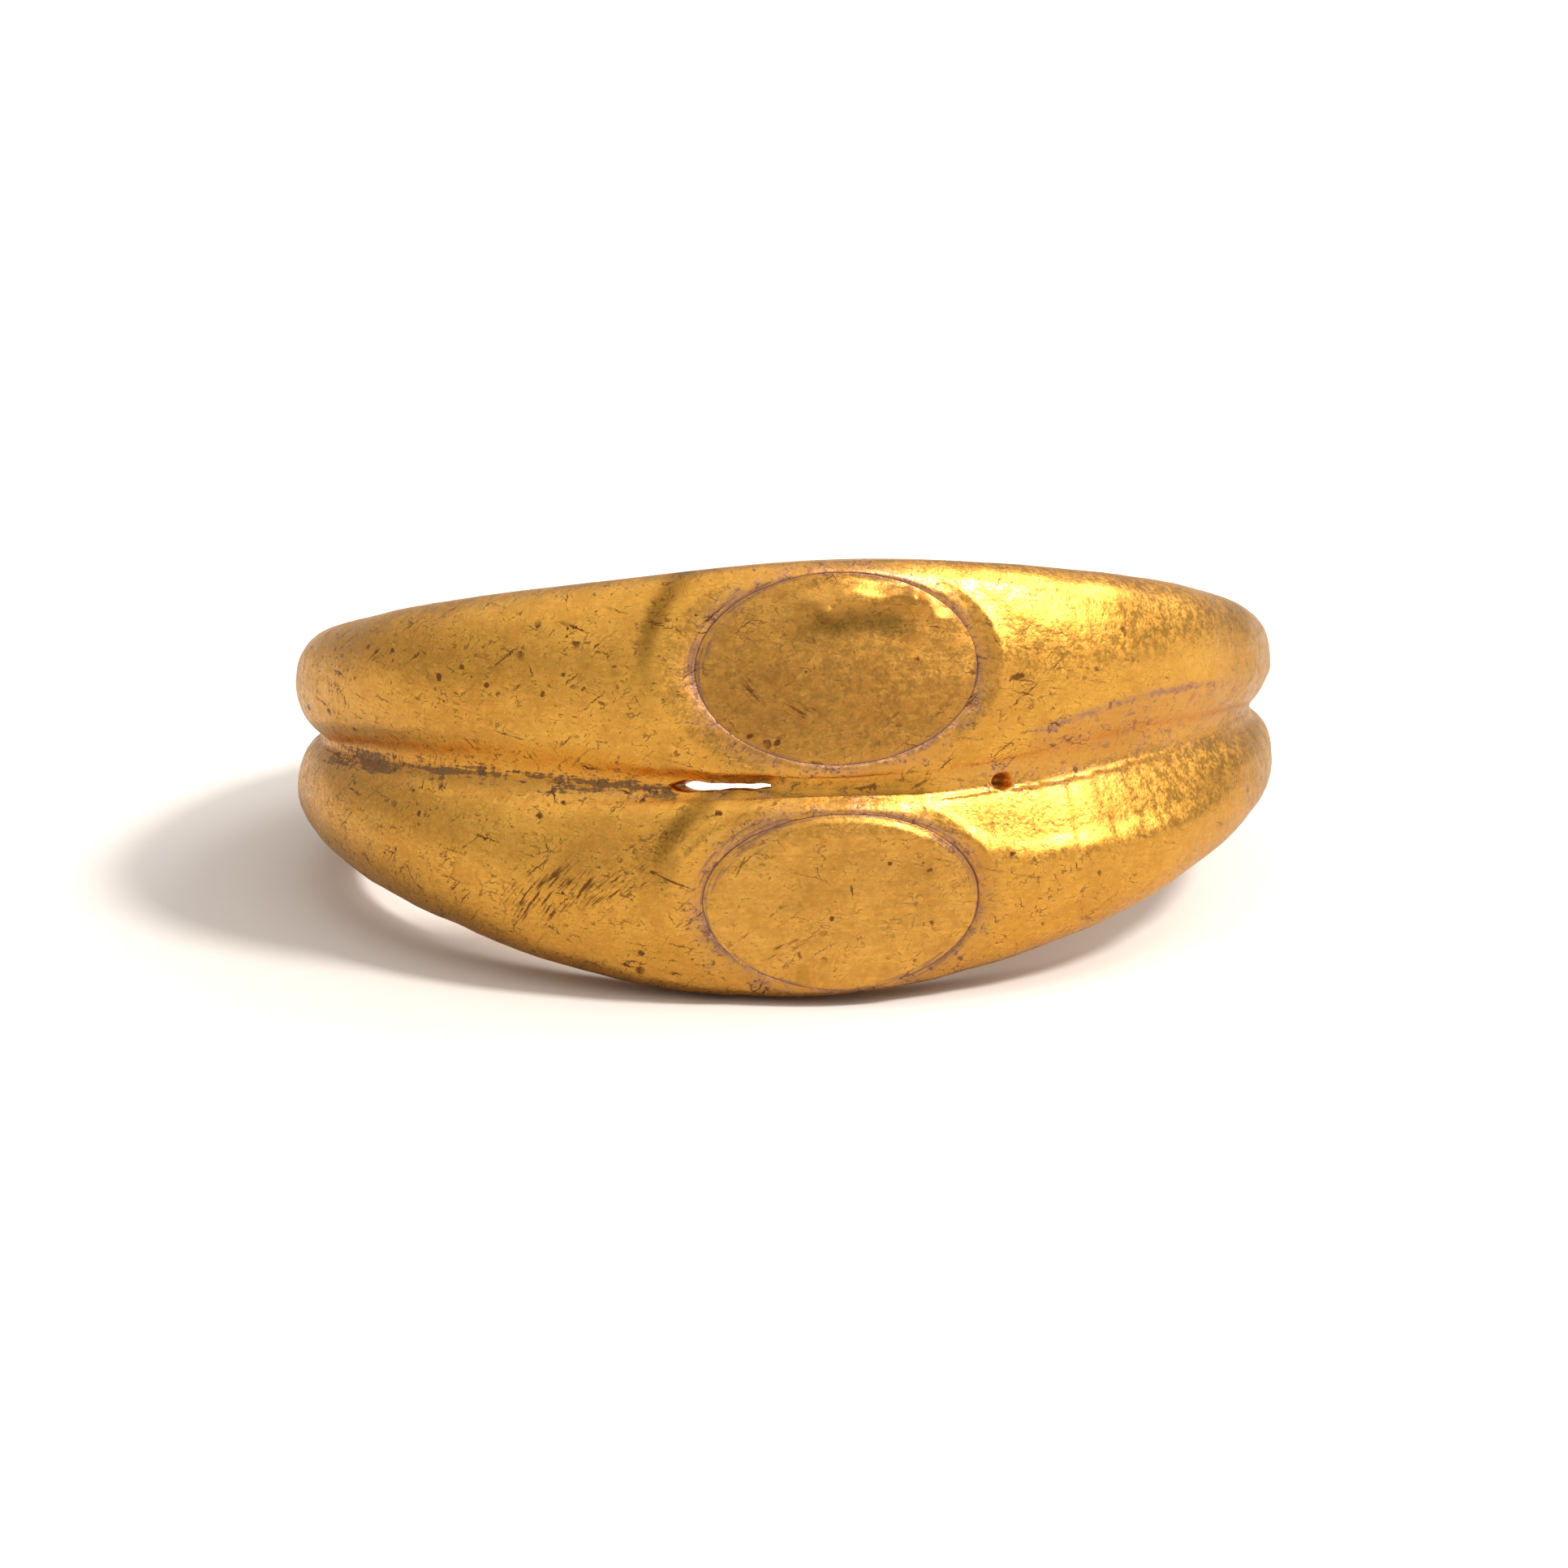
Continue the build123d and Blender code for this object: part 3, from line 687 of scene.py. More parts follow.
def makeHoops():
    angles, points, marks = hoopsGrid()
    points, fromJoint = roughenSkin(points, marks)
    columns, rows = points.shape[:2]
    left, right = (int(np.searchsorted(angles, side * hoops["blockTurn"])) for side in (-1, 1))
    blocks = [
        (upperPlate, ((left, right), (marks["skinStart"] - 1, marks["upperEnd"] - 1))),
        (lowerPlate, ((left, right), (marks["valleyEnd"], marks["lowerEnd"] - marks["skinStart"]))),
    ]
    keep, solid = np.ones((columns, rows), bool), np.ones((columns, rows), bool)
    for plate, ((iLow, iHigh), (jLow, jHigh)) in blocks:
        keep[iLow + 1:iHigh, jLow + 1:jHigh] = False
        solid[iLow:iHigh, jLow:jHigh] = False
    middleRow, boreLow = marks["middleRow"], rows - hoops["boreRows"] - 1
    slitColumns = np.nonzero(marks["opened"])[0]
    slitFirst, slitLast = slitColumns[0], slitColumns[-1]
    solid[slitFirst:slitLast, [middleRow - 1, boreLow]] = False
    number = np.full((columns, rows), -1)
    number[keep] = np.arange(keep.sum())
    faces = []
    for i, j in np.argwhere(solid):
        nextI, nextJ = (i + 1) % columns, (j + 1) % rows
        corners = number[i, j], number[nextI, j], number[nextI, nextJ], number[i, nextJ]
        faces.append([int(c) for c in corners])
    # the slit's two long walls and its two ends
    walls = []
    for i in range(slitFirst, slitLast):
        walls.append(([(i, middleRow - 1), (i + 1, middleRow - 1), (i + 1, boreLow + 1), (i, boreLow + 1)], False))
        walls.append(([(i, middleRow), (i + 1, middleRow), (i + 1, boreLow), (i, boreLow)], True))
    for i, flip in ((slitFirst, False), (slitLast, True)):
        walls.append(([(i, middleRow - 1), (i, boreLow + 1), (i, boreLow), (i, middleRow)], flip))
    for corners, flip in walls:
        quad = [int(number[corner]) for corner in corners]
        faces.append(quad[::-1] if flip else quad)
    # the pockets, ring by ring from the hoop's skin to the middle of the seat
    allPoints, total = [points[keep]], int(keep.sum())
    hollows, heights = [np.zeros(total)], [fromJoint[keep]]
    for plate, block in blocks:
        border, rings, distances = pocketRings(points, plate, block)
        count = len(border)
        previous = number[border[:, 0], border[:, 1]]
        for ring, distance in zip(rings[:-1], distances[:-1]):
            here = total + np.arange(count)
            allPoints.append(ring)
            heights.append(np.full(count, farAway))
            hollows.append(hoops["seamHollow"] * bump(np.abs(distance), 0, hoops["seamHollowWidth"]))
            total += count
            corners = previous, np.roll(previous, -1), np.roll(here, -1), here
            faces += np.stack(corners, -1).tolist()
            previous = here
        allPoints.append(rings[-1][:1])
        heights.append(np.full(1, farAway))
        hollows.append(np.zeros(1))
        faces += [[int(previous[k]), int(previous[(k + 1) % count]), total] for k in range(count)]
        total += 1
    points = np.concatenate(allPoints)
    seam, seamShare, shadeBands = np.full(len(points), farAway), np.zeros(len(points)), np.zeros(len(points))
    for plate, block in blocks:
        foot, along, across, out = bezelAxes(plate)
        local = points - foot
        u, v = local @ along, local @ across
        away = np.where(local @ out > hoops["faceHeight"], np.abs(ovalDistance(u, v, plate)), farAway)
        nearer = away < seam
        seam = np.where(nearer, away, seam)
        seamShare = np.where(nearer, seamShareAt(u, v, plate), seamShare)
        # a painted shade band just outside each moat
        middle, width, strength = plate["shadeBandAt"]
        shadeBand = strength * bump(ovalTurn(u, v, plate), middle, width)
        shadeBands += shadeBand * bump(away, plate["shadeBandOut"], plate["shadeBandWidth"])
    places = skinPlaces(points)
    heights = np.concatenate(heights)
    # painted shade and painted warm reflection go to the material as attributes, beside the seam dirt, the deposit
    # and the tarnish in the hollows
    floats = {
        "seamDistance": seam, "seamShare": seamShare, "deposit": valleyDeposit(places, heights),
        "hollow": np.maximum(np.concatenate(hollows), mauveTinge(places, heights)),
        "paintedShade": np.clip(shadeToPaint(places, heights) + shadeBands, 0, 1), "paintedWarmReflection": warmReflectionAt(places, heights),
    }
    piece = meshPiece("goldDoubleHoop", points, faces, floats, places)
    print("double hoop:", len(points), "points,", len(faces), "faces,", columns, "columns,", rows, "rows")
    return piece


def makePlate(name, plate):
    # the oval plate as rings of points, from the middle of its face over the rim to its underside
    foot, along, across, out = bezelAxes(plate)
    spokes, ringCount, softness = plate["spokes"], plate["rings"], plate["rimRound"]
    rimU, rimV, outU, outV = ovalRim(plate, np.arange(spokes) / spokes * 2 * np.pi)
    rings = []

    def addRing(u, v, height):
        rings.append(foot + u[:, None] * along + v[:, None] * across + height[:, None] * out)

    def faceHeight(u, v):
        return plateTop(u, v, plate) + plateRelief(u, v, plate)

    innerU, innerV = rimU - outU * softness, rimV - outV * softness
    for k in range(1, ringCount + 1):
        share = (k / ringCount) ** 0.85
        addRing(innerU * share, innerV * share, faceHeight(innerU * share, innerV * share))
    start = faceHeight(innerU, innerV)
    for angle in (22.5, 45, 67.5, 90):
        inward = softness * (1 - sin(radians(angle))) + plate["rimGap"]
        addRing(rimU - outU * inward, rimV - outV * inward, start - softness * (1 - cos(radians(angle))))
    for share in (0.3, 0.7, 1.0):
        height = start - softness + (plate["seatHeight"] - start + softness) * share
        addRing(rimU - outU * plate["rimGap"], rimV - outV * plate["rimGap"], height)
    points = [foot[None, :] + faceHeight(np.zeros(1), np.zeros(1))[:, None] * out, *rings]
    faces = [[0, 1 + k, 1 + (k + 1) % spokes] for k in range(spokes)]
    for before in range(1, 1 + (len(rings) - 1) * spokes, spokes):
        here = before + spokes
        for s in range(spokes):
            n = (s + 1) % spokes
            faces.append([before + s, here + s, here + n, before + n])
    last = 1 + (len(rings) - 1) * spokes
    points.append((foot + plate["seatHeight"] * out)[None, :])
    faces += [[last + k, last + spokes, last + (k + 1) % spokes] for k in range(spokes)]
    points = np.concatenate(points)
    local = points - foot
    places = np.stack([local @ along, local @ across, local @ out], -1)
    u, v = places[:, 0], places[:, 1]
    none = np.zeros(len(points))
    # painted shade below the upper plate's lip
    middle, bow, at = plate["shadeLine"]
    brownAndShade = bump(v, middle - bow * (u - at) ** 2, plate["shadeWidth"]) * within(u, plate["shadeAlong"])
    floats = {
        "seamDistance": np.abs(ovalDistance(u, v, plate)), "seamShare": seamShareAt(u, v, plate),
        "hollow": none, "paintedShade": plate["brownAndShade"] * brownAndShade, "deposit": none, "paintedWarmReflection": none,
    }
    piece = meshPiece(name, points, faces, floats, places)
    print(name + ":", len(points), "points,", len(faces), "faces")
    return piece


def plateRelief(u, v, plate):
    # wear of the faces: the upper plate is hollow with a raised lip, the lower one nearly flat
    places = np.stack([u, v, np.full_like(u, 3.0 * plate["side"])], -1)
    height = sum(size * handWaves(places, *waves) for size, waves in plate["waves"])
    oval = np.hypot(u / plate["length"], v / plate["width"]) * 2
    height = height - plate["dish"] * np.clip(1 - (oval / plate["dishReach"]) ** 2, 0, 1)
    middle, bow, at, wave = plate["lipLine"]
    pastLip = v - (middle - bow * (u - at) ** 2 + wave * np.sin(5 * u))
    lip = within(pastLip, plate["lipAcross"]) * within(u, plate["lipAlong"]) * easeStep(1.0, 0.9, oval)
    height += plate["lip"] * lip
    at, slant, width = plate["dropAt"]
    height += plate["drop"] * bump(u, at - slant * v, width) * within(v, plate["dropAcross"])
    for size, atU, widthU, atV, widthV in plate["knobs"]:
        height += size * bump(u, atU, widthU) * bump(v, atV, widthV)
    return height + plate["cornerRise"] * easeStep(0.3, 2.2, 0.75 * u - 0.9 * v)


# node helpers: a value is either a number or the socket it comes from
def put(tree, kind, takes=None, **settings):
    node = tree.nodes.new(kind)
    for name, value in settings.items():
        setattr(node, name, value)
    for name, value in (takes or {}).items():
        if isinstance(value, bpy.types.NodeSocket):
            tree.links.new(value, node.inputs[name])
        else:
            node.inputs[name].default_value = value
    return node


def chain(tree, operation, values):
    total = values[0]
    for value in values[1:]:
        total = put(tree, "ShaderNodeMath", {0: total, 1: value}, operation=operation).outputs[0]
    return total


def plus(tree, *values):
    return chain(tree, "ADD", values)


def minus(tree, *values):
    return chain(tree, "SUBTRACT", values)


def times(tree, *values):
    return chain(tree, "MULTIPLY", values)


def strongest(tree, masks):
    return chain(tree, "MAXIMUM", masks)


def weighed(tree, *pairs):
    # every value times its weight, added up
    return plus(tree, *[times(tree, value, weight) for value, weight in pairs])


def vectors(tree, operation, first, second):
    return put(tree, "ShaderNodeVectorMath", {0: first, 1: second}, operation=operation).outputs[0]


def rotated(tree, place, angle):
    takes = {"Vector": place, "Angle": angle}
    return put(tree, "ShaderNodeVectorRotate", takes, rotation_type="Z_AXIS").outputs[0]


def ramp(tree, value, low, high, start=0.0, end=1.0, kind="LINEAR"):
    takes = {"Value": value, "From Min": low, "From Max": high, "To Min": start, "To Max": end}
    return put(tree, "ShaderNodeMapRange", takes, interpolation_type=kind).outputs[0]


def between(tree, value, low, high, start=0.0, end=1.0):
    return ramp(tree, value, low, high, start, end, "SMOOTHSTEP")


def blend(tree, share, first, second):
    return put(tree, "ShaderNodeMix", {0: share, 6: first, 7: second}, data_type="RGBA").outputs[2]


def cloudNode(tree, place, scale, detail, roughness):
    takes = {"Vector": place, "Scale": scale, "Detail": detail, "Roughness": roughness}
    return put(tree, "ShaderNodeTexNoise", takes).outputs


def cloud(tree, place, scale, detail, roughness):
    return cloudNode(tree, place, scale, detail, roughness)["Fac"]


origin = (0.0, 0.0, 0.0)
black = (0.0, 0.0, 0.0, 1.0)


def startGroup(name, takes, gives):
    group = bpy.data.node_groups.new(name, "ShaderNodeTree")
    kinds = {3: "NodeSocketVector", 4: "NodeSocketColor"}
    for label, value in takes.items():
        kind = "NodeSocketFloat" if isinstance(value, float) else kinds[len(value)]
        group.interface.new_socket(label, in_out="INPUT", socket_type=kind).default_value = value
    for label, kind in gives.items():
        group.interface.new_socket(label, in_out="OUTPUT", socket_type="NodeSocket" + kind)
    return group, group.nodes.new("NodeGroupInput").outputs, group.nodes.new("NodeGroupOutput").inputs


def endGroup(group, out, results):
    for name, socket in results.items():
        group.links.new(socket, out[name])
    return group


def useGroup(tree, name, takes):
    return put(tree, "ShaderNodeGroup", takes, node_tree=goldGroups[name]).outputs


# noises: scale, detail, roughness
cloudSizes = {
    "Large": (0.42, 2.0, 0.5), "Middle": (2.1, 4.0, 0.68), "Small": (7.5, 2.0, 0.6), "Streaks": (1.0, 3.0, 0.6),
    "drawnOut": (0.9, 11.0, 0.0), "wander": 0.16,
}


def makeClouds():
    # uneven shades of several sizes that the other groups share
    gives = {"Large": "Float", "Middle": "Float", "Small": "Float", "Streaks": "Float", "Wandered": "Vector"}
    group, given, out = startGroup("unevenness", {"Place": origin, "Skin": origin}, gives)
    small = cloudNode(group, given["Place"], *cloudSizes["Small"])
    drawn = vectors(group, "MULTIPLY", given["Skin"], cloudSizes["drawnOut"])
    wander = vectors(group, "SUBTRACT", small["Color"], (0.5, 0.5, 0.5))
    wander = vectors(group, "MULTIPLY", wander, (cloudSizes["wander"],) * 3)
    return endGroup(group, out, {
        "Large": cloud(group, given["Place"], *cloudSizes["Large"]),
        "Middle": cloud(group, given["Place"], *cloudSizes["Middle"]), "Small": small["Fac"],
        "Streaks": cloud(group, drawn, *cloudSizes["Streaks"]),
        "Wandered": vectors(group, "ADD", given["Place"], wander),
    })


# tone weights, the gold kept in the painted warm reflection, how brown wear with painted shade is mixed, then the
# tarnish
patinaAndPaintedLight = {
    "weights": (("Large", 0.3), ("Middle", 0.4), ("Small", 0.28), ("Streaks", 0.16)), "toneRange": 0.15,
    "goldInReflection": 0.25, "brownUneven": 1.2, "brownAndShadeRange": (0.1, 0.9), "brownAndShadeMost": 0.85,
    "grime": (0.6, 0.4), "limit": 0.66, "limitByShare": 0.2, "limitByHollow": 0.3, "softness": 0.14,
    "dull": 0.5, "dullByHollow": 0.5, "hollowDull": 0.25,
}


def makePatinaAndPaintedLight():
    # cloudy wear from bright gold to deep brown gold, with mauve tarnish in the hollows; it also paints the warm
    # reflection and the shade in brown
    takes = {
        "Large": 0.5, "Middle": 0.5, "Small": 0.5, "Streaks": 0.5, "Bright Gold": (1.0, 1.0, 1.0, 1.0),
        "Deep Gold": black, "Tarnish": black, "Brown And Shade": black, "Reflected Orange": black, "Painted Warm Reflection": 0.0, "Hollow": 0.0,
        "Painted Shade": 0.0, "Contrast": 1.0, "Tarnish Share": 0.3,
    }
    group, given, out = startGroup("goldPatinaAndPaintedLight", takes, {"Colour": "Color", "Dullness": "Float"})
    hollow = given["Hollow"]
    tone = weighed(group, *[(minus(group, given[name], 0.5), weight) for name, weight in patinaAndPaintedLight["weights"]])
    tone = between(group, times(group, tone, given["Contrast"]), -patinaAndPaintedLight["toneRange"], patinaAndPaintedLight["toneRange"])
    colour = blend(group, tone, given["Deep Gold"], given["Bright Gold"])
    # painted warm reflection: the reflected orange is mixed in where the attribute says
    colour = blend(group, given["Painted Warm Reflection"], colour, blend(group, patinaAndPaintedLight["goldInReflection"], given["Reflected Orange"], colour))
    # brown wear from random unevenness, mixed with the painted shade
    uneven = times(group, minus(group, given["Middle"], 0.5), patinaAndPaintedLight["brownUneven"])
    brownAndShade = between(group, plus(group, given["Painted Shade"], uneven), *patinaAndPaintedLight["brownAndShadeRange"])
    colour = blend(group, times(group, brownAndShade, patinaAndPaintedLight["brownAndShadeMost"]), colour, given["Brown And Shade"])
    grime = weighed(group, (given["Middle"], patinaAndPaintedLight["grime"][0]), (given["Small"], patinaAndPaintedLight["grime"][1]))
    limit = minus(group, patinaAndPaintedLight["limit"], times(group, given["Tarnish Share"], patinaAndPaintedLight["limitByShare"]))
    limit = minus(group, limit, times(group, hollow, patinaAndPaintedLight["limitByHollow"]))
    dull = ramp(group, grime, limit, plus(group, limit, patinaAndPaintedLight["softness"]))
    dull = times(group, dull, plus(group, patinaAndPaintedLight["dull"], times(group, hollow, patinaAndPaintedLight["dullByHollow"])))
    dull = plus(group, dull, times(group, hollow, patinaAndPaintedLight["hollowDull"]))
    dull = put(group, "ShaderNodeClamp", {"Value": dull}).outputs[0]
    return endGroup(group, out, {"Colour": blend(group, dull, colour, given["Tarnish"]), "Dullness": dull})


grainNoise = {"fine": (2.0, 0.65), "folds": (2.0, 0.6), "glint": (0.8, 1.2)}


def makeGrain():
    # the fine crystalline sparkle of old gold, over a crinkled skin
    takes = {"Place": origin, "Grain": 12.0, "Depth": 0.004, "Crinkle": 5.0, "Crinkle Depth": 0.01}
    group, given, out = startGroup("sparklingGrain", takes, {"Height": "Float", "Glint": "Float"})
    fine = cloud(group, given["Place"], given["Grain"], *grainNoise["fine"])
    folds = cloud(group, given["Place"], given["Crinkle"], *grainNoise["folds"])
    return endGroup(group, out, {
        "Height": weighed(group, (fine, given["Depth"]), (folds, given["Crinkle Depth"])),
        "Glint": between(group, plus(group, fine, folds), *grainNoise["glint"]),
    })


scratch = {"noise": (1.0, 1.0, 0.5), "core": 0.3, "limit": 0.8, "limitByShare": 0.6, "soft": 0.05}


def makeScratches():
    # thin broken lines lying more or less one way
    takes = {
        "Place": origin, "Breaks": 0.5, "Turn": 0.0, "Spacing": 0.2, "Length": 2.0, "Width": 0.02, "Share": 0.5,
    }
    group, given, out = startGroup("fineScratches", takes, {"Mask": "Float"})
    sizes = {axis: put(group, "ShaderNodeMath", {0: 1.0, 1: given[name]}, operation="DIVIDE").outputs[0]
             for axis, name in (("X", "Length"), ("Y", "Spacing"))}
    stretch = put(group, "ShaderNodeCombineXYZ", sizes).outputs[0]
    long = vectors(group, "MULTIPLY", rotated(group, given["Place"], given["Turn"]), stretch)
    near = minus(group, cloud(group, long, *scratch["noise"]), 0.5)
    near = put(group, "ShaderNodeMath", {0: near}, operation="ABSOLUTE").outputs[0]
    line = ramp(group, near, given["Width"], times(group, given["Width"], scratch["core"]))
    limit = minus(group, scratch["limit"], times(group, given["Share"], scratch["limitByShare"]))
    keep = ramp(group, given["Breaks"], limit, plus(group, limit, scratch["soft"]))
    return endGroup(group, out, {"Mask": times(group, line, keep)})


def makeSpecks():
    # small dark pits and flecks, scattered unevenly, their edges a third of their size
    takes = {"Place": origin, "Turn": 0.0, "Spacing": 0.5, "Size": 0.08, "Share": 0.3, "Stretch": 1.0}
    group, given, out = startGroup("darkSpecks", takes, {"Mask": "Float"})
    squash = put(group, "ShaderNodeCombineXYZ", {"X": 1.0, "Y": given["Stretch"], "Z": 1.0}).outputs[0]
    moved = vectors(group, "MULTIPLY", rotated(group, given["Place"], given["Turn"]), squash)
    scale = put(group, "ShaderNodeMath", {0: 1.0, 1: given["Spacing"]}, operation="DIVIDE").outputs[0]
    cells = put(group, "ShaderNodeTexVoronoi", {"Vector": moved, "Scale": scale, "Randomness": 1.0}).outputs
    away = times(group, cells["Distance"], given["Spacing"])
    dice = put(group, "ShaderNodeSeparateColor", {"Color": cells["Color"]}).outputs
    reach = times(group, given["Size"], plus(group, 0.3, dice[1]))
    spot = ramp(group, minus(group, reach, away), 0.0, times(group, given["Size"], 0.3))
    chosen = put(group, "ShaderNodeMath", {0: dice[0], 1: given["Share"]}, operation="LESS_THAN").outputs[0]
    return endGroup(group, out, {"Mask": times(group, spot, chosen)})


seamLook = {
    "width": (0.3, 0.7, 0.5, 1.4), "core": 0.3, "least": 0.1, "byShare": 0.9, "streaksOut": 13.0,
    "noise": (1.0, 2.0, 0.6), "leastReach": 0.001, "limit": 0.62, "limitByFade": 0.22, "soft": 0.12,
    "fadePower": 0.5,
}


def makeSeamDirt():
    # dirt held in the seam round an oval plate, and streaks that follow it outside
    takes = {"Distance": 1.0, "Place": origin, "Fine": 0.5, "Share": 0.5, "Line": 0.05, "Spread": 0.2}
    group, given, out = startGroup("seamDirt", takes, {"Line": "Float", "Haze": "Float"})
    distance, share = given["Distance"], given["Share"]
    width = times(group, given["Line"], between(group, given["Fine"], *seamLook["width"]))
    core = ramp(group, distance, width, times(group, width, seamLook["core"]))
    core = times(group, core, plus(group, seamLook["least"], times(group, share, seamLook["byShare"])))
    outward = times(group, distance, seamLook["streaksOut"])
    outward = put(group, "ShaderNodeCombineXYZ", {"Z": outward}).outputs[0]
    streaks = cloud(group, vectors(group, "ADD", given["Place"], outward), *seamLook["noise"])
    reach = plus(group, times(group, given["Spread"], share), seamLook["leastReach"])
    fade = ramp(group, distance, reach, 0.0)
    limit = minus(group, seamLook["limit"], times(group, fade, seamLook["limitByFade"]))
    haze = ramp(group, streaks, limit, plus(group, limit, seamLook["soft"]))
    thinning = put(group, "ShaderNodeMath", {0: fade, 1: seamLook["fadePower"]}, operation="POWER").outputs[0]
    return endGroup(group, out, {"Line": core, "Haze": times(group, haze, thinning)})


def makeSpot():
    # a stain, pit or patch at one place on the skin, with ragged edges
    takes = {
        "Place": origin, "Unevenness": 0.5, "Middle": origin, "Half Size": (1.0, 1.0, 1.0), "Turn": 0.0,
        "Ragged": 0.5, "Soft": 0.3,
    }
    group, given, out = startGroup("placedSpot", takes, {"Mask": "Float"})
    local = vectors(group, "SUBTRACT", given["Place"], given["Middle"])
    local = rotated(group, vectors(group, "MULTIPLY", local, (1.0, 1.0, 0.0)), given["Turn"])
    share = vectors(group, "DIVIDE", local, given["Half Size"])
    length = put(group, "ShaderNodeVectorMath", {0: share}, operation="LENGTH").outputs["Value"]
    ragged = times(group, minus(group, given["Unevenness"], 0.5), given["Ragged"], 5.0)
    mask = ramp(group, plus(group, length, ragged), 1.0, minus(group, 1.0, given["Soft"]))
    return endGroup(group, out, {"Mask": mask})


goldGroups = {
    "clouds": makeClouds(), "patinaAndPaintedLight": makePatinaAndPaintedLight(), "grain": makeGrain(), "scratches": makeScratches(),
    "specks": makeSpecks(), "seam": makeSeamDirt(), "spot": makeSpot(),
}
print("node groups ready")


def newMaterial(name):
    material = bpy.data.materials.new(name)
    material.use_nodes = True
    return material, material.node_tree, material.node_tree.nodes["Principled BSDF"]


# the three gold finishes, lengths in mm
hoopFinish = {
    "bright": (0.94, 0.49, 0.085, 1), "deep": (0.69, 0.325, 0.055, 1), "tarnish": (0.52, 0.265, 0.145, 1),
    "mauve": (0.35, 0.18, 0.13, 1), "dirt": (0.13, 0.042, 0.012, 1), "crust": (0.13, 0.075, 0.042, 1),
    # brown for wear and painted shade, and the orange of the painted warm reflection
    "brownAndShade": (0.31, 0.15, 0.022, 1), "reflectedOrange": (0.84, 0.385, 0.045, 1),
    "contrast": 1.0, "tarnishShare": 0.3, "roughness": (0.24, 0.46),
    "grain": 13.0, "grainDepth": 0.0055, "crinkle": 4.6, "crinkleDepth": 0.014, "streakDepth": 0.0025,
    "seamLine": 0.035, "seamSpread": 0.42, "marked": 1.2, "markedRight": 0.5, "markedAlong": (4.0, 10.0),
    # how strongly each layer covers the gold, and what it does to its gloss
    "lines": 0.75, "scattered": 0.9, "hazeCover": 0.85, "lineCover": 0.85, "crustCover": 0.75, "darkCover": 0.88,
    "darkDull": 0.12, "crustDull": 0.35, "dullnessRough": 0.15, "dullRough": 0.6, "bent": 0.35,
    "crowded": (0.4, 0.62, 0.2, 1.0), "crustStretch": (0.7, 7.0, 3.0), "crustNoise": (1.0, 3.0, 0.65),
    "crustMix": (0.7, 0.3), "crustUneven": 2.6, "crustEdge": (0.42, 0.62),
}
upperFinish = dict(
    hoopFinish, bright=(0.76, 0.385, 0.078, 1), deep=(0.5, 0.23, 0.045, 1), brownAndShade=(0.2, 0.11, 0.02, 1),
    roughness=(0.3, 0.5), crinkleDepth=0.009, marked=1.0,
)
lowerFinish = dict(
    hoopFinish, bright=(0.95, 0.5, 0.1, 1), deep=(0.62, 0.295, 0.055, 1),
    roughness=(0.28, 0.48), crinkleDepth=0.009, marked=0.9,
)

# scratches: turn in degrees, spacing, length, width, share; specks: spacing, size, share, stretch
scratchLines = ((9, 0.15, 0.6, 0.034, 0.53), (-38, 0.19, 0.45, 0.032, 0.53))
speckSizes = ((0.21, 0.036, 0.3, 1.0), (0.42, 0.075, 0.36, 0.6), (0.85, 0.11, 0.3, 0.45))
# long scratches: turn in degrees, spacing, half length, share, how many times longer than wide
longScratches = ((12, 0.95, 0.36, 0.12, 17.0), (-38, 1.1, 0.4, 0.1, 19.0), (63, 0.9, 0.26, 0.1, 13.0))

# marks with a place of their own: middle along and across, half sizes, turn in degrees, strength, ragged
hoopMarks = (
    (-9.35, 2.1, 0.11, 0.1, 0, 1.0, 0.5), (-8.7, 2.35, 0.06, 0.06, 0, 0.9, 0.5),
    (-8.0, 2.0, 0.07, 0.06, 20, 1.0, 0.5), (-6.1, 2.3, 0.06, 0.06, 0, 0.9, 0.5),
    (-7.2, 2.0, 0.12, 0.03, 40, 0.8, 0.3), (-5.2, 1.7, 0.1, 0.04, -30, 0.8, 0.4),
    (4.2, 2.05, 0.2, 0.1, 10, 1.0, 0.3), (7.05, 2.85, 0.07, 0.16, 15, 0.9, 0.4),
    (3.2, 1.5, 0.16, 0.1, 30, 0.5, 0.9), (0.75, -0.22, 0.28, 0.06, 0, 0.9, 0.9),
    (1.95, -0.2, 0.3, 0.035, 25, 0.8, 0.5), (-3.7, -2.15, 0.52, 0.026, -24, 1.0, 0.25),
    (-4.1, -1.97, 0.12, 0.05, -10, 1.0, 0.4), (4.03, -0.27, 0.2, 0.13, 0, 0.6, 0.3),
    (-8.4, 2.15, 0.05, 0.04, 10, 0.9, 0.5), (-7.7, 2.5, 0.14, 0.03, 35, 0.8, 0.4),
    (-6.6, 1.85, 0.05, 0.05, 0, 0.9, 0.5), (-5.6, 2.0, 0.09, 0.04, 50, 0.8, 0.5),
    (-4.9, 2.5, 0.06, 0.04, 0, 0.8, 0.5), (-9.9, 2.6, 0.13, 0.03, -20, 0.7, 0.4),
    (6.2, -2.4, 0.07, 0.07, 0, 0.8, 0.5), (8.3, 1.7, 0.14, 0.03, -20, 0.7, 0.4),
    (5.2, 0.95, 0.1, 0.03, -40, 0.8, 0.4),
)
upperMarks = (
    (-1.94, -1.4, 0.1, 0.06, 30, 1.0, 0.4), (-1.37, -1.56, 0.11, 0.06, 40, 1.0, 0.4),
    (1.72, 0.16, 0.07, 0.06, 0, 1.0, 0.4), (1.1, -1.1, 0.2, 0.04, 30, 0.6, 0.6),
)
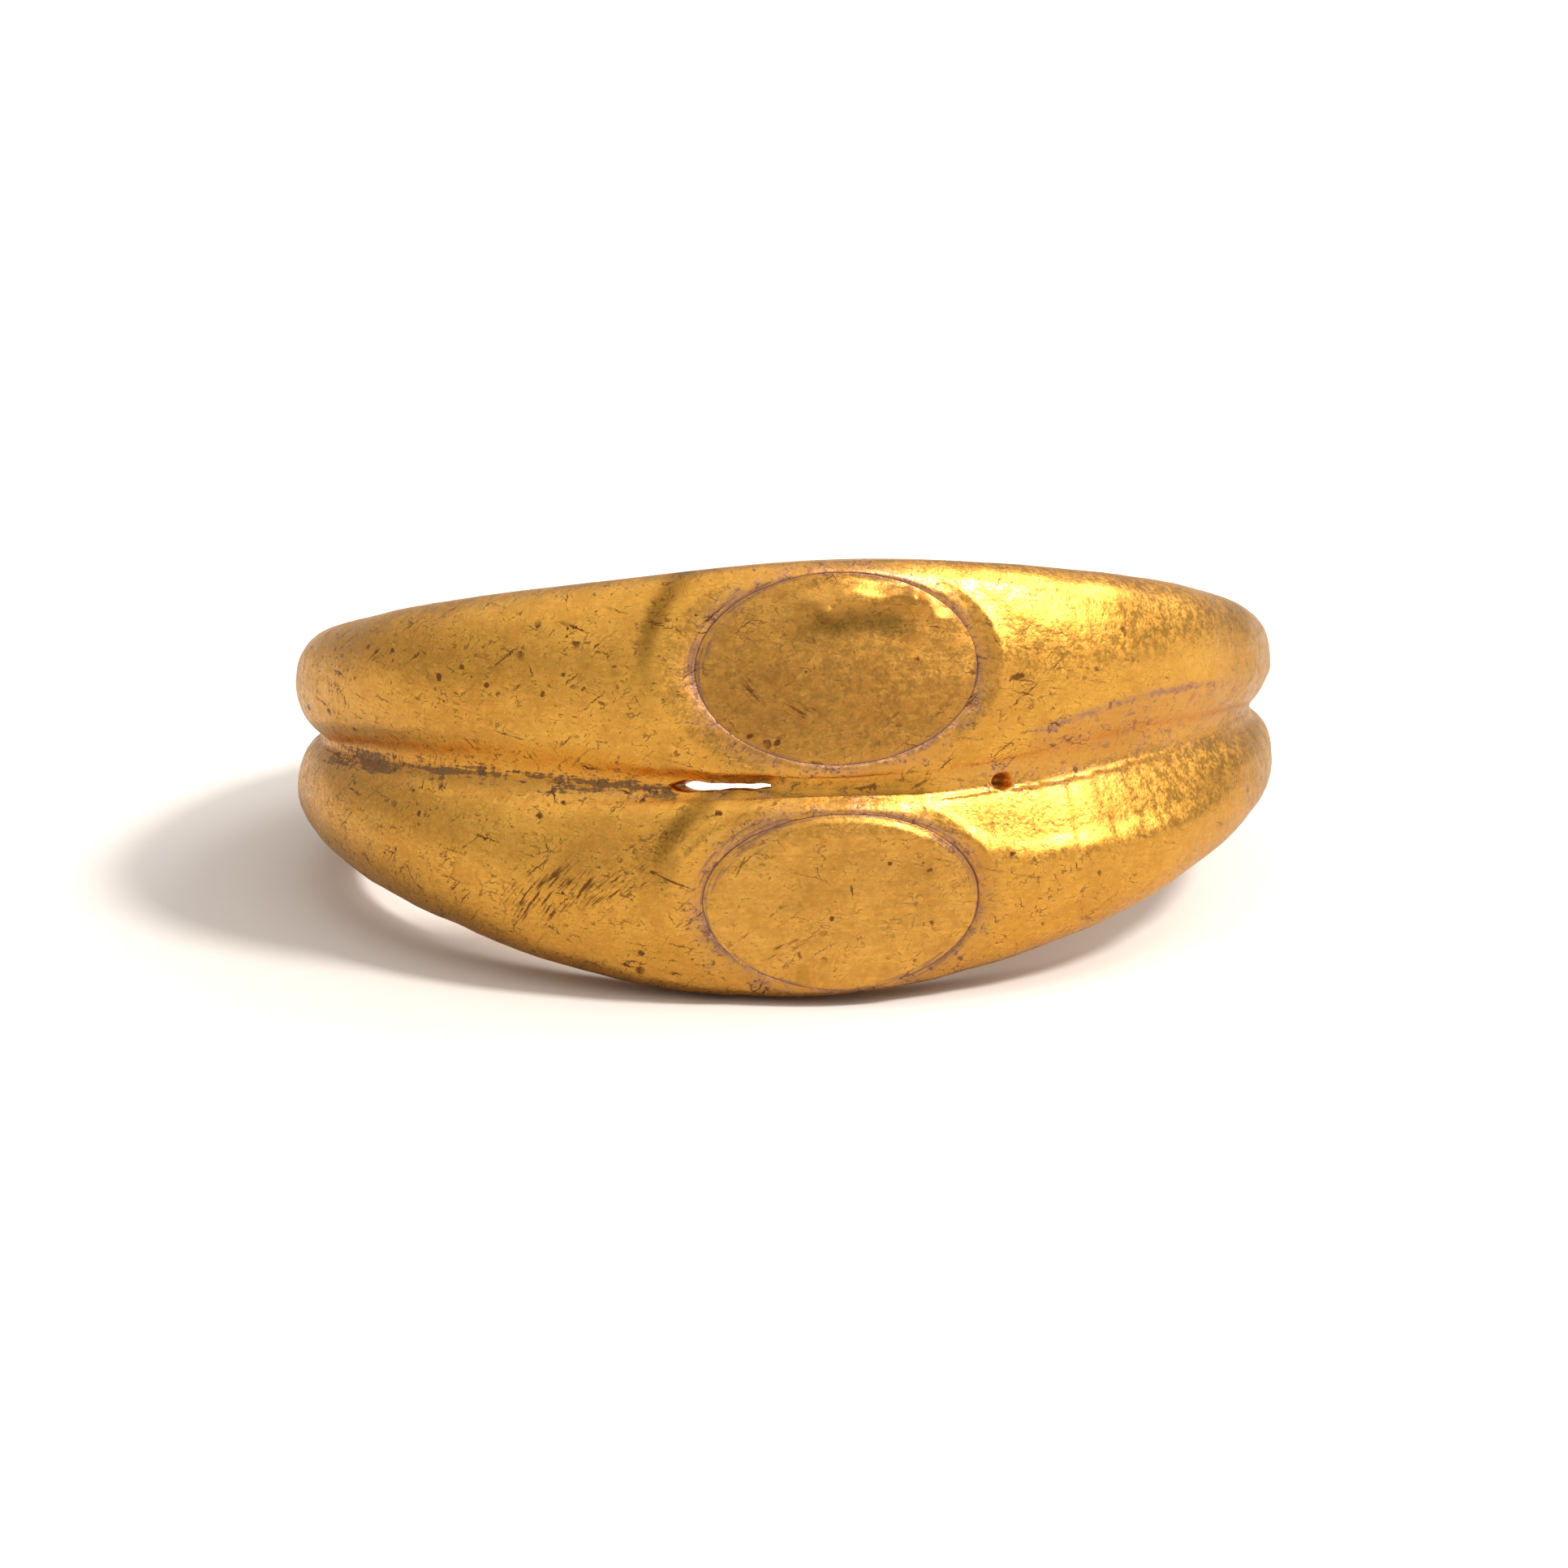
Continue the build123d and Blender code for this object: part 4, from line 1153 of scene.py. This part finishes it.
lowerMarks = (
    (0.2, 0.24, 0.035, 0.16, 10, 0.9, 0.4), (-0.24, -0.33, 0.05, 0.06, 0, 1.0, 0.4),
    (1.04, 0.82, 0.07, 0.05, 0, 1.0, 0.4), (1.92, 0.64, 0.08, 0.04, 30, 0.9, 0.5),
    (1.94, -0.53, 0.07, 0.04, -30, 0.9, 0.4), (0.38, -0.79, 0.1, 0.05, 20, 0.6, 0.6),
    (-2.2, 0.8, 0.03, 0.26, -25, 0.8, 0.3),
)
# hatched patches: middle along and across, half sizes, turn, spacing of the scratches and their turn
hoopHatches = ((-6.5, -2.45, 1.7, 0.62, 16, 0.46, 47), (-5.0, -2.3, 0.9, 0.5, 30, 0.4, 38))
upperHatches = ((-2.0, -0.4, 0.6, 0.24, -45, 0.34, -47), (-1.0, -0.85, 0.5, 0.2, -15, 0.3, -30))
lowerHatches = ((-1.2, -1.0, 0.5, 0.2, 20, 0.3, 30),)
hatching = {"strength": 1.0, "ragged": 0.6, "soft": 0.6, "width": 0.75, "share": 0.62, "stretch": 11.0}
spotSoftness = 0.35


def spotMask(tree, skin, unevenness, along, across, halfLong, halfWide, turn, strength, ragged, soft=spotSoftness):
    spot = useGroup(tree, "spot", {
        "Place": skin, "Unevenness": unevenness, "Middle": (along, across, 0.0),
        "Half Size": (halfLong, halfWide, 1.0), "Turn": -radians(turn), "Ragged": ragged, "Soft": soft,
    })["Mask"]
    return times(tree, spot, strength)


def markMasks(tree, skin, clouds, finish, marks, hatches):
    # every dark mark on the gold: scattered scratches and specks, then the ones with a place of their own
    def bentSkin(amount):
        bend = vectors(tree, "SUBTRACT", clouds["Wandered"], metalPlace(tree))
        bend = vectors(tree, "MULTIPLY", bend, (amount,) * 3)
        return vectors(tree, "MULTIPLY", vectors(tree, "ADD", skin, bend), (1.0, 1.0, 0.0))

    def specksAt(place, turn, spacing, size, share, stretch):
        return useGroup(tree, "specks", {
            "Place": place, "Turn": turn, "Spacing": spacing, "Size": size, "Share": share, "Stretch": stretch,
        })["Mask"]

    lines = [useGroup(tree, "scratches", {
        "Place": skin, "Breaks": clouds["Small"], "Turn": radians(turn), "Spacing": spacing, "Length": length,
        "Width": width, "Share": share,
    })["Mask"] for turn, spacing, length, width, share in scratchLines]
    wandered, lightlyBent = bentSkin(1.0), bentSkin(finish["bent"])
    specks = [specksAt(clouds["Wandered"], 0.0, *sizes) for sizes in speckSizes]
    specks += [specksAt(wandered, radians(turn), *sizes) for turn, *sizes in longScratches]
    scattered = strongest(tree, [times(tree, strongest(tree, lines), finish["lines"]), *specks])
    along = put(tree, "ShaderNodeSeparateXYZ", {"Vector": skin}).outputs["X"]
    leftward = between(tree, along, *finish["markedAlong"], finish["marked"], finish["markedRight"])
    scattered = times(tree, scattered, between(tree, clouds["Middle"], *finish["crowded"]), leftward)
    placed = [spotMask(tree, skin, clouds["Small"], *mark) for mark in marks]
    for *patchPlace, spacing, lineTurn in hatches:
        look = hatching["strength"], hatching["ragged"], hatching["soft"]
        patch = spotMask(tree, skin, clouds["Middle"], *patchPlace, *look)
        size = spacing * hatching["width"]
        sizes = spacing, size, hatching["share"], hatching["stretch"]
        hatch = specksAt(lightlyBent, -radians(lineTurn), *sizes)
        placed.append(times(tree, patch, hatch))
    return strongest(tree, [times(tree, scattered, finish["scattered"]), *placed])


def metalPlace(tree):
    # millimetres through the metal
    place = put(tree, "ShaderNodeTexCoord").outputs["Object"]
    return vectors(tree, "MULTIPLY", place, (1 / millimetre,) * 3)


def goldFinish(name, finish, marks, hatches):
    material, tree, shader = newMaterial(name)
    metal = metalPlace(tree)
    skin = put(tree, "ShaderNodeAttribute", attribute_name="skinPlace").outputs["Vector"]
    hollow, paintedShade, paintedWarmReflection, seamDistance, seamShare, deposit = (
        put(tree, "ShaderNodeAttribute", attribute_name=label).outputs["Fac"]
        for label in ("hollow", "paintedShade", "paintedWarmReflection", "seamDistance", "seamShare", "deposit")
    )
    clouds = useGroup(tree, "clouds", {"Place": metal, "Skin": skin})
    # the patina group also paints the warm reflection and the shade
    wearAndPaintedLight = useGroup(tree, "patinaAndPaintedLight", {
        **{size: clouds[size] for size in ("Large", "Middle", "Small", "Streaks")},
        "Bright Gold": finish["bright"], "Deep Gold": finish["deep"], "Tarnish": finish["tarnish"],
        "Brown And Shade": finish["brownAndShade"], "Reflected Orange": finish["reflectedOrange"], "Painted Warm Reflection": paintedWarmReflection, "Hollow": hollow,
        "Painted Shade": paintedShade, "Contrast": finish["contrast"], "Tarnish Share": finish["tarnishShare"],
    })
    grain = useGroup(tree, "grain", {
        "Place": metal, "Grain": finish["grain"], "Depth": finish["grainDepth"],
        "Crinkle": finish["crinkle"], "Crinkle Depth": finish["crinkleDepth"],
    })
    dark = markMasks(tree, skin, clouds, finish, marks, hatches)
    seam = useGroup(tree, "seam", {
        "Distance": seamDistance, "Place": skin, "Fine": clouds["Small"], "Share": seamShare,
        "Line": finish["seamLine"], "Spread": finish["seamSpread"],
    })
    # the deposit in the joint is broken up lengthwise
    drawnOut = cloud(tree, vectors(tree, "MULTIPLY", skin, finish["crustStretch"]), *finish["crustNoise"])
    large, small = finish["crustMix"]
    crust = minus(tree, weighed(tree, (drawnOut, large), (clouds["Small"], small)), 0.5)
    crust = plus(tree, deposit, times(tree, crust, finish["crustUneven"]))
    crust = between(tree, crust, *finish["crustEdge"])
    colour = wearAndPaintedLight["Colour"]
    for mask, cover, paint in ((seam["Haze"], "hazeCover", "mauve"), (seam["Line"], "lineCover", "mauve"),
                               (crust, "crustCover", "crust"), (dark, "darkCover", "dirt")):
        colour = blend(tree, times(tree, mask, finish[cover]), colour, finish[paint])
    tree.links.new(colour, shader.inputs["Base Color"])
    dull = weighed(tree, (dark, finish["darkDull"]), (crust, finish["crustDull"]))
    tree.links.new(minus(tree, 1.0, dull), shader.inputs["Metallic"])
    low, high = finish["roughness"]
    rough = plus(tree, low, times(tree, grain["Glint"], high - low))
    rough = plus(tree, rough, times(tree, wearAndPaintedLight["Dullness"], finish["dullnessRough"]))
    rough = plus(tree, rough, times(tree, dull, finish["dullRough"]))
    tree.links.new(rough, shader.inputs["Roughness"])
    height = plus(tree, grain["Height"], times(tree, clouds["Streaks"], finish["streakDepth"]))
    relief = put(tree, "ShaderNodeBump", {"Height": height, "Distance": millimetre, "Strength": 1.0})
    tree.links.new(relief.outputs[0], shader.inputs["Normal"])
    return material


def dress(piece, node, material):
    piece.data.materials.append(material)
    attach(piece, "root")
    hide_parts(node)


# the studio: floor, lamps and camera; a lamp has its direction from the ring, its distance, side and power,
# a shade of the air the part of the sky that it eases over
studio = {
    "azimuth": -6.2, "elevation": 16.4, "distance": 0.25, "lens": 254.8, "film": 36.0, "aimDown": 0.00139,
    "clip": (0.01, 10.0), "frontWay": (0.05, -1.0, 0.0),
    "airBack": (0.43, 0.41, 0.39, 1), "airSides": (0.57, 0.55, 0.53, 1), "airFront": (0.5, 0.48, 0.46, 1),
    "airTop": (1.0, 0.98, 0.95, 1), "sides": (-0.4, 0.5), "front": (0.5, 0.97), "top": (0.25, 0.85),
    "floorSide": 3.0, "floorColour": (0.78, 0.735, 0.7, 1), "floorSeenInMetal": (0.52, 0.5, 0.47, 1),
    "floorRoughness": 0.9, "floorGloss": 0.1,
    "lampColour": (1.0, 0.97, 0.93),
    "lamps": {
        "keyLamp": ((0.57, -0.33, 0.74), 0.4, 0.08, 1.42), "backBox": ((0.62, 0.28, 0.72), 0.4, 0.2, 0.55),
        "softBox": ((0.75, -0.32, 0.54), 0.45, 0.14, 0.26),
    },
}


def directionFrom(azimuth, elevation):
    turn, lift = radians(azimuth), radians(elevation)
    return Vector((sin(turn) * cos(lift), -cos(turn) * cos(lift), sin(lift)))


def makeAir():
    world = bpy.data.worlds.new("studioAir")
    world.use_nodes = True
    air = world.node_tree
    towards = put(air, "ShaderNodeTexCoord").outputs["Generated"]
    takes = {0: towards, 1: studio["frontWay"]}
    front = put(air, "ShaderNodeVectorMath", takes, operation="DOT_PRODUCT").outputs["Value"]
    high = put(air, "ShaderNodeSeparateXYZ", {"Vector": towards}).outputs["Z"]
    shade = studio["airBack"]
    steps = ((front, "sides", "airSides"), (front, "front", "airFront"), (high, "top", "airTop"))
    for value, reach, colour in steps:
        shade = blend(air, between(air, value, *studio[reach]), shade, studio[colour])
    air.links.new(shade, air.nodes["Background"].inputs["Color"])
    bpy.context.scene.world = world


def makeFloor():
    mesh = bpy.data.meshes.new("paleFloor")
    half = studio["floorSide"] / 2
    corners = [(-half, -half, 0), (half, -half, 0), (half, half, 0), (-half, half, 0)]
    mesh.from_pydata(corners, [], [(0, 1, 2, 3)])
    floor = bpy.data.objects.new("paleFloor", mesh)
    bpy.context.scene.collection.objects.link(floor)
    material, tree, shader = newMaterial("paleFloor")
    seenByCamera = put(tree, "ShaderNodeLightPath").outputs["Is Camera Ray"]
    colour = blend(tree, seenByCamera, studio["floorSeenInMetal"], studio["floorColour"])
    tree.links.new(colour, shader.inputs["Base Color"])
    shader.inputs["Roughness"].default_value = studio["floorRoughness"]
    shader.inputs["Specular IOR Level"].default_value = studio["floorGloss"]
    mesh.materials.append(material)


def makeLamps():
    for name, (towards, distance, side, power) in studio["lamps"].items():
        lamp = bpy.data.lights.new(name, "AREA")
        lamp.shape, lamp.size, lamp.energy, lamp.color = "DISK", side, power, studio["lampColour"]
        holder = bpy.data.objects.new(name, lamp)
        holder.location = ringMiddle + Vector(towards).normalized() * distance
        holder.rotation_euler = (ringMiddle - holder.location).to_track_quat("-Z", "Y").to_euler()
        bpy.context.scene.collection.objects.link(holder)


def makeCamera():
    eye = directionFrom(studio["azimuth"], studio["elevation"])
    lens = bpy.data.cameras.new("photoCamera")
    lens.sensor_fit, lens.sensor_width, lens.lens = "HORIZONTAL", studio["film"], studio["lens"]
    lens.clip_start, lens.clip_end = studio["clip"]
    camera = bpy.data.objects.new("photoCamera", lens)
    camera.location = ringMiddle + eye * studio["distance"]
    camera.rotation_euler = (-eye).to_track_quat("-Z", "Y").to_euler()
    lift = camera.rotation_euler.to_matrix() @ Vector((0, 1, 0))
    camera.location -= lift * studio["aimDown"]
    bpy.context.scene.collection.objects.link(camera)
    bpy.context.scene.camera = camera


bpy.context.scene.view_settings.view_transform = "Standard"
makeAir()
makeFloor()
makeLamps()
makeCamera()
print("studio ready")
hoopGold = goldFinish("hoopGold", hoopFinish, hoopMarks, hoopHatches)
upperPlateGold = goldFinish("upperPlateGold", upperFinish, upperMarks, upperHatches)
lowerPlateGold = goldFinish("lowerPlateGold", lowerFinish, lowerMarks, lowerHatches)
print("gold finishes ready")
dress(makeHoops(), "double_hoop", hoopGold)
dress(makePlate("goldUpperPlate", upperPlate), "upper_bezel_plate", upperPlateGold)
dress(makePlate("goldLowerPlate", lowerPlate), "lower_bezel_plate", lowerPlateGold)
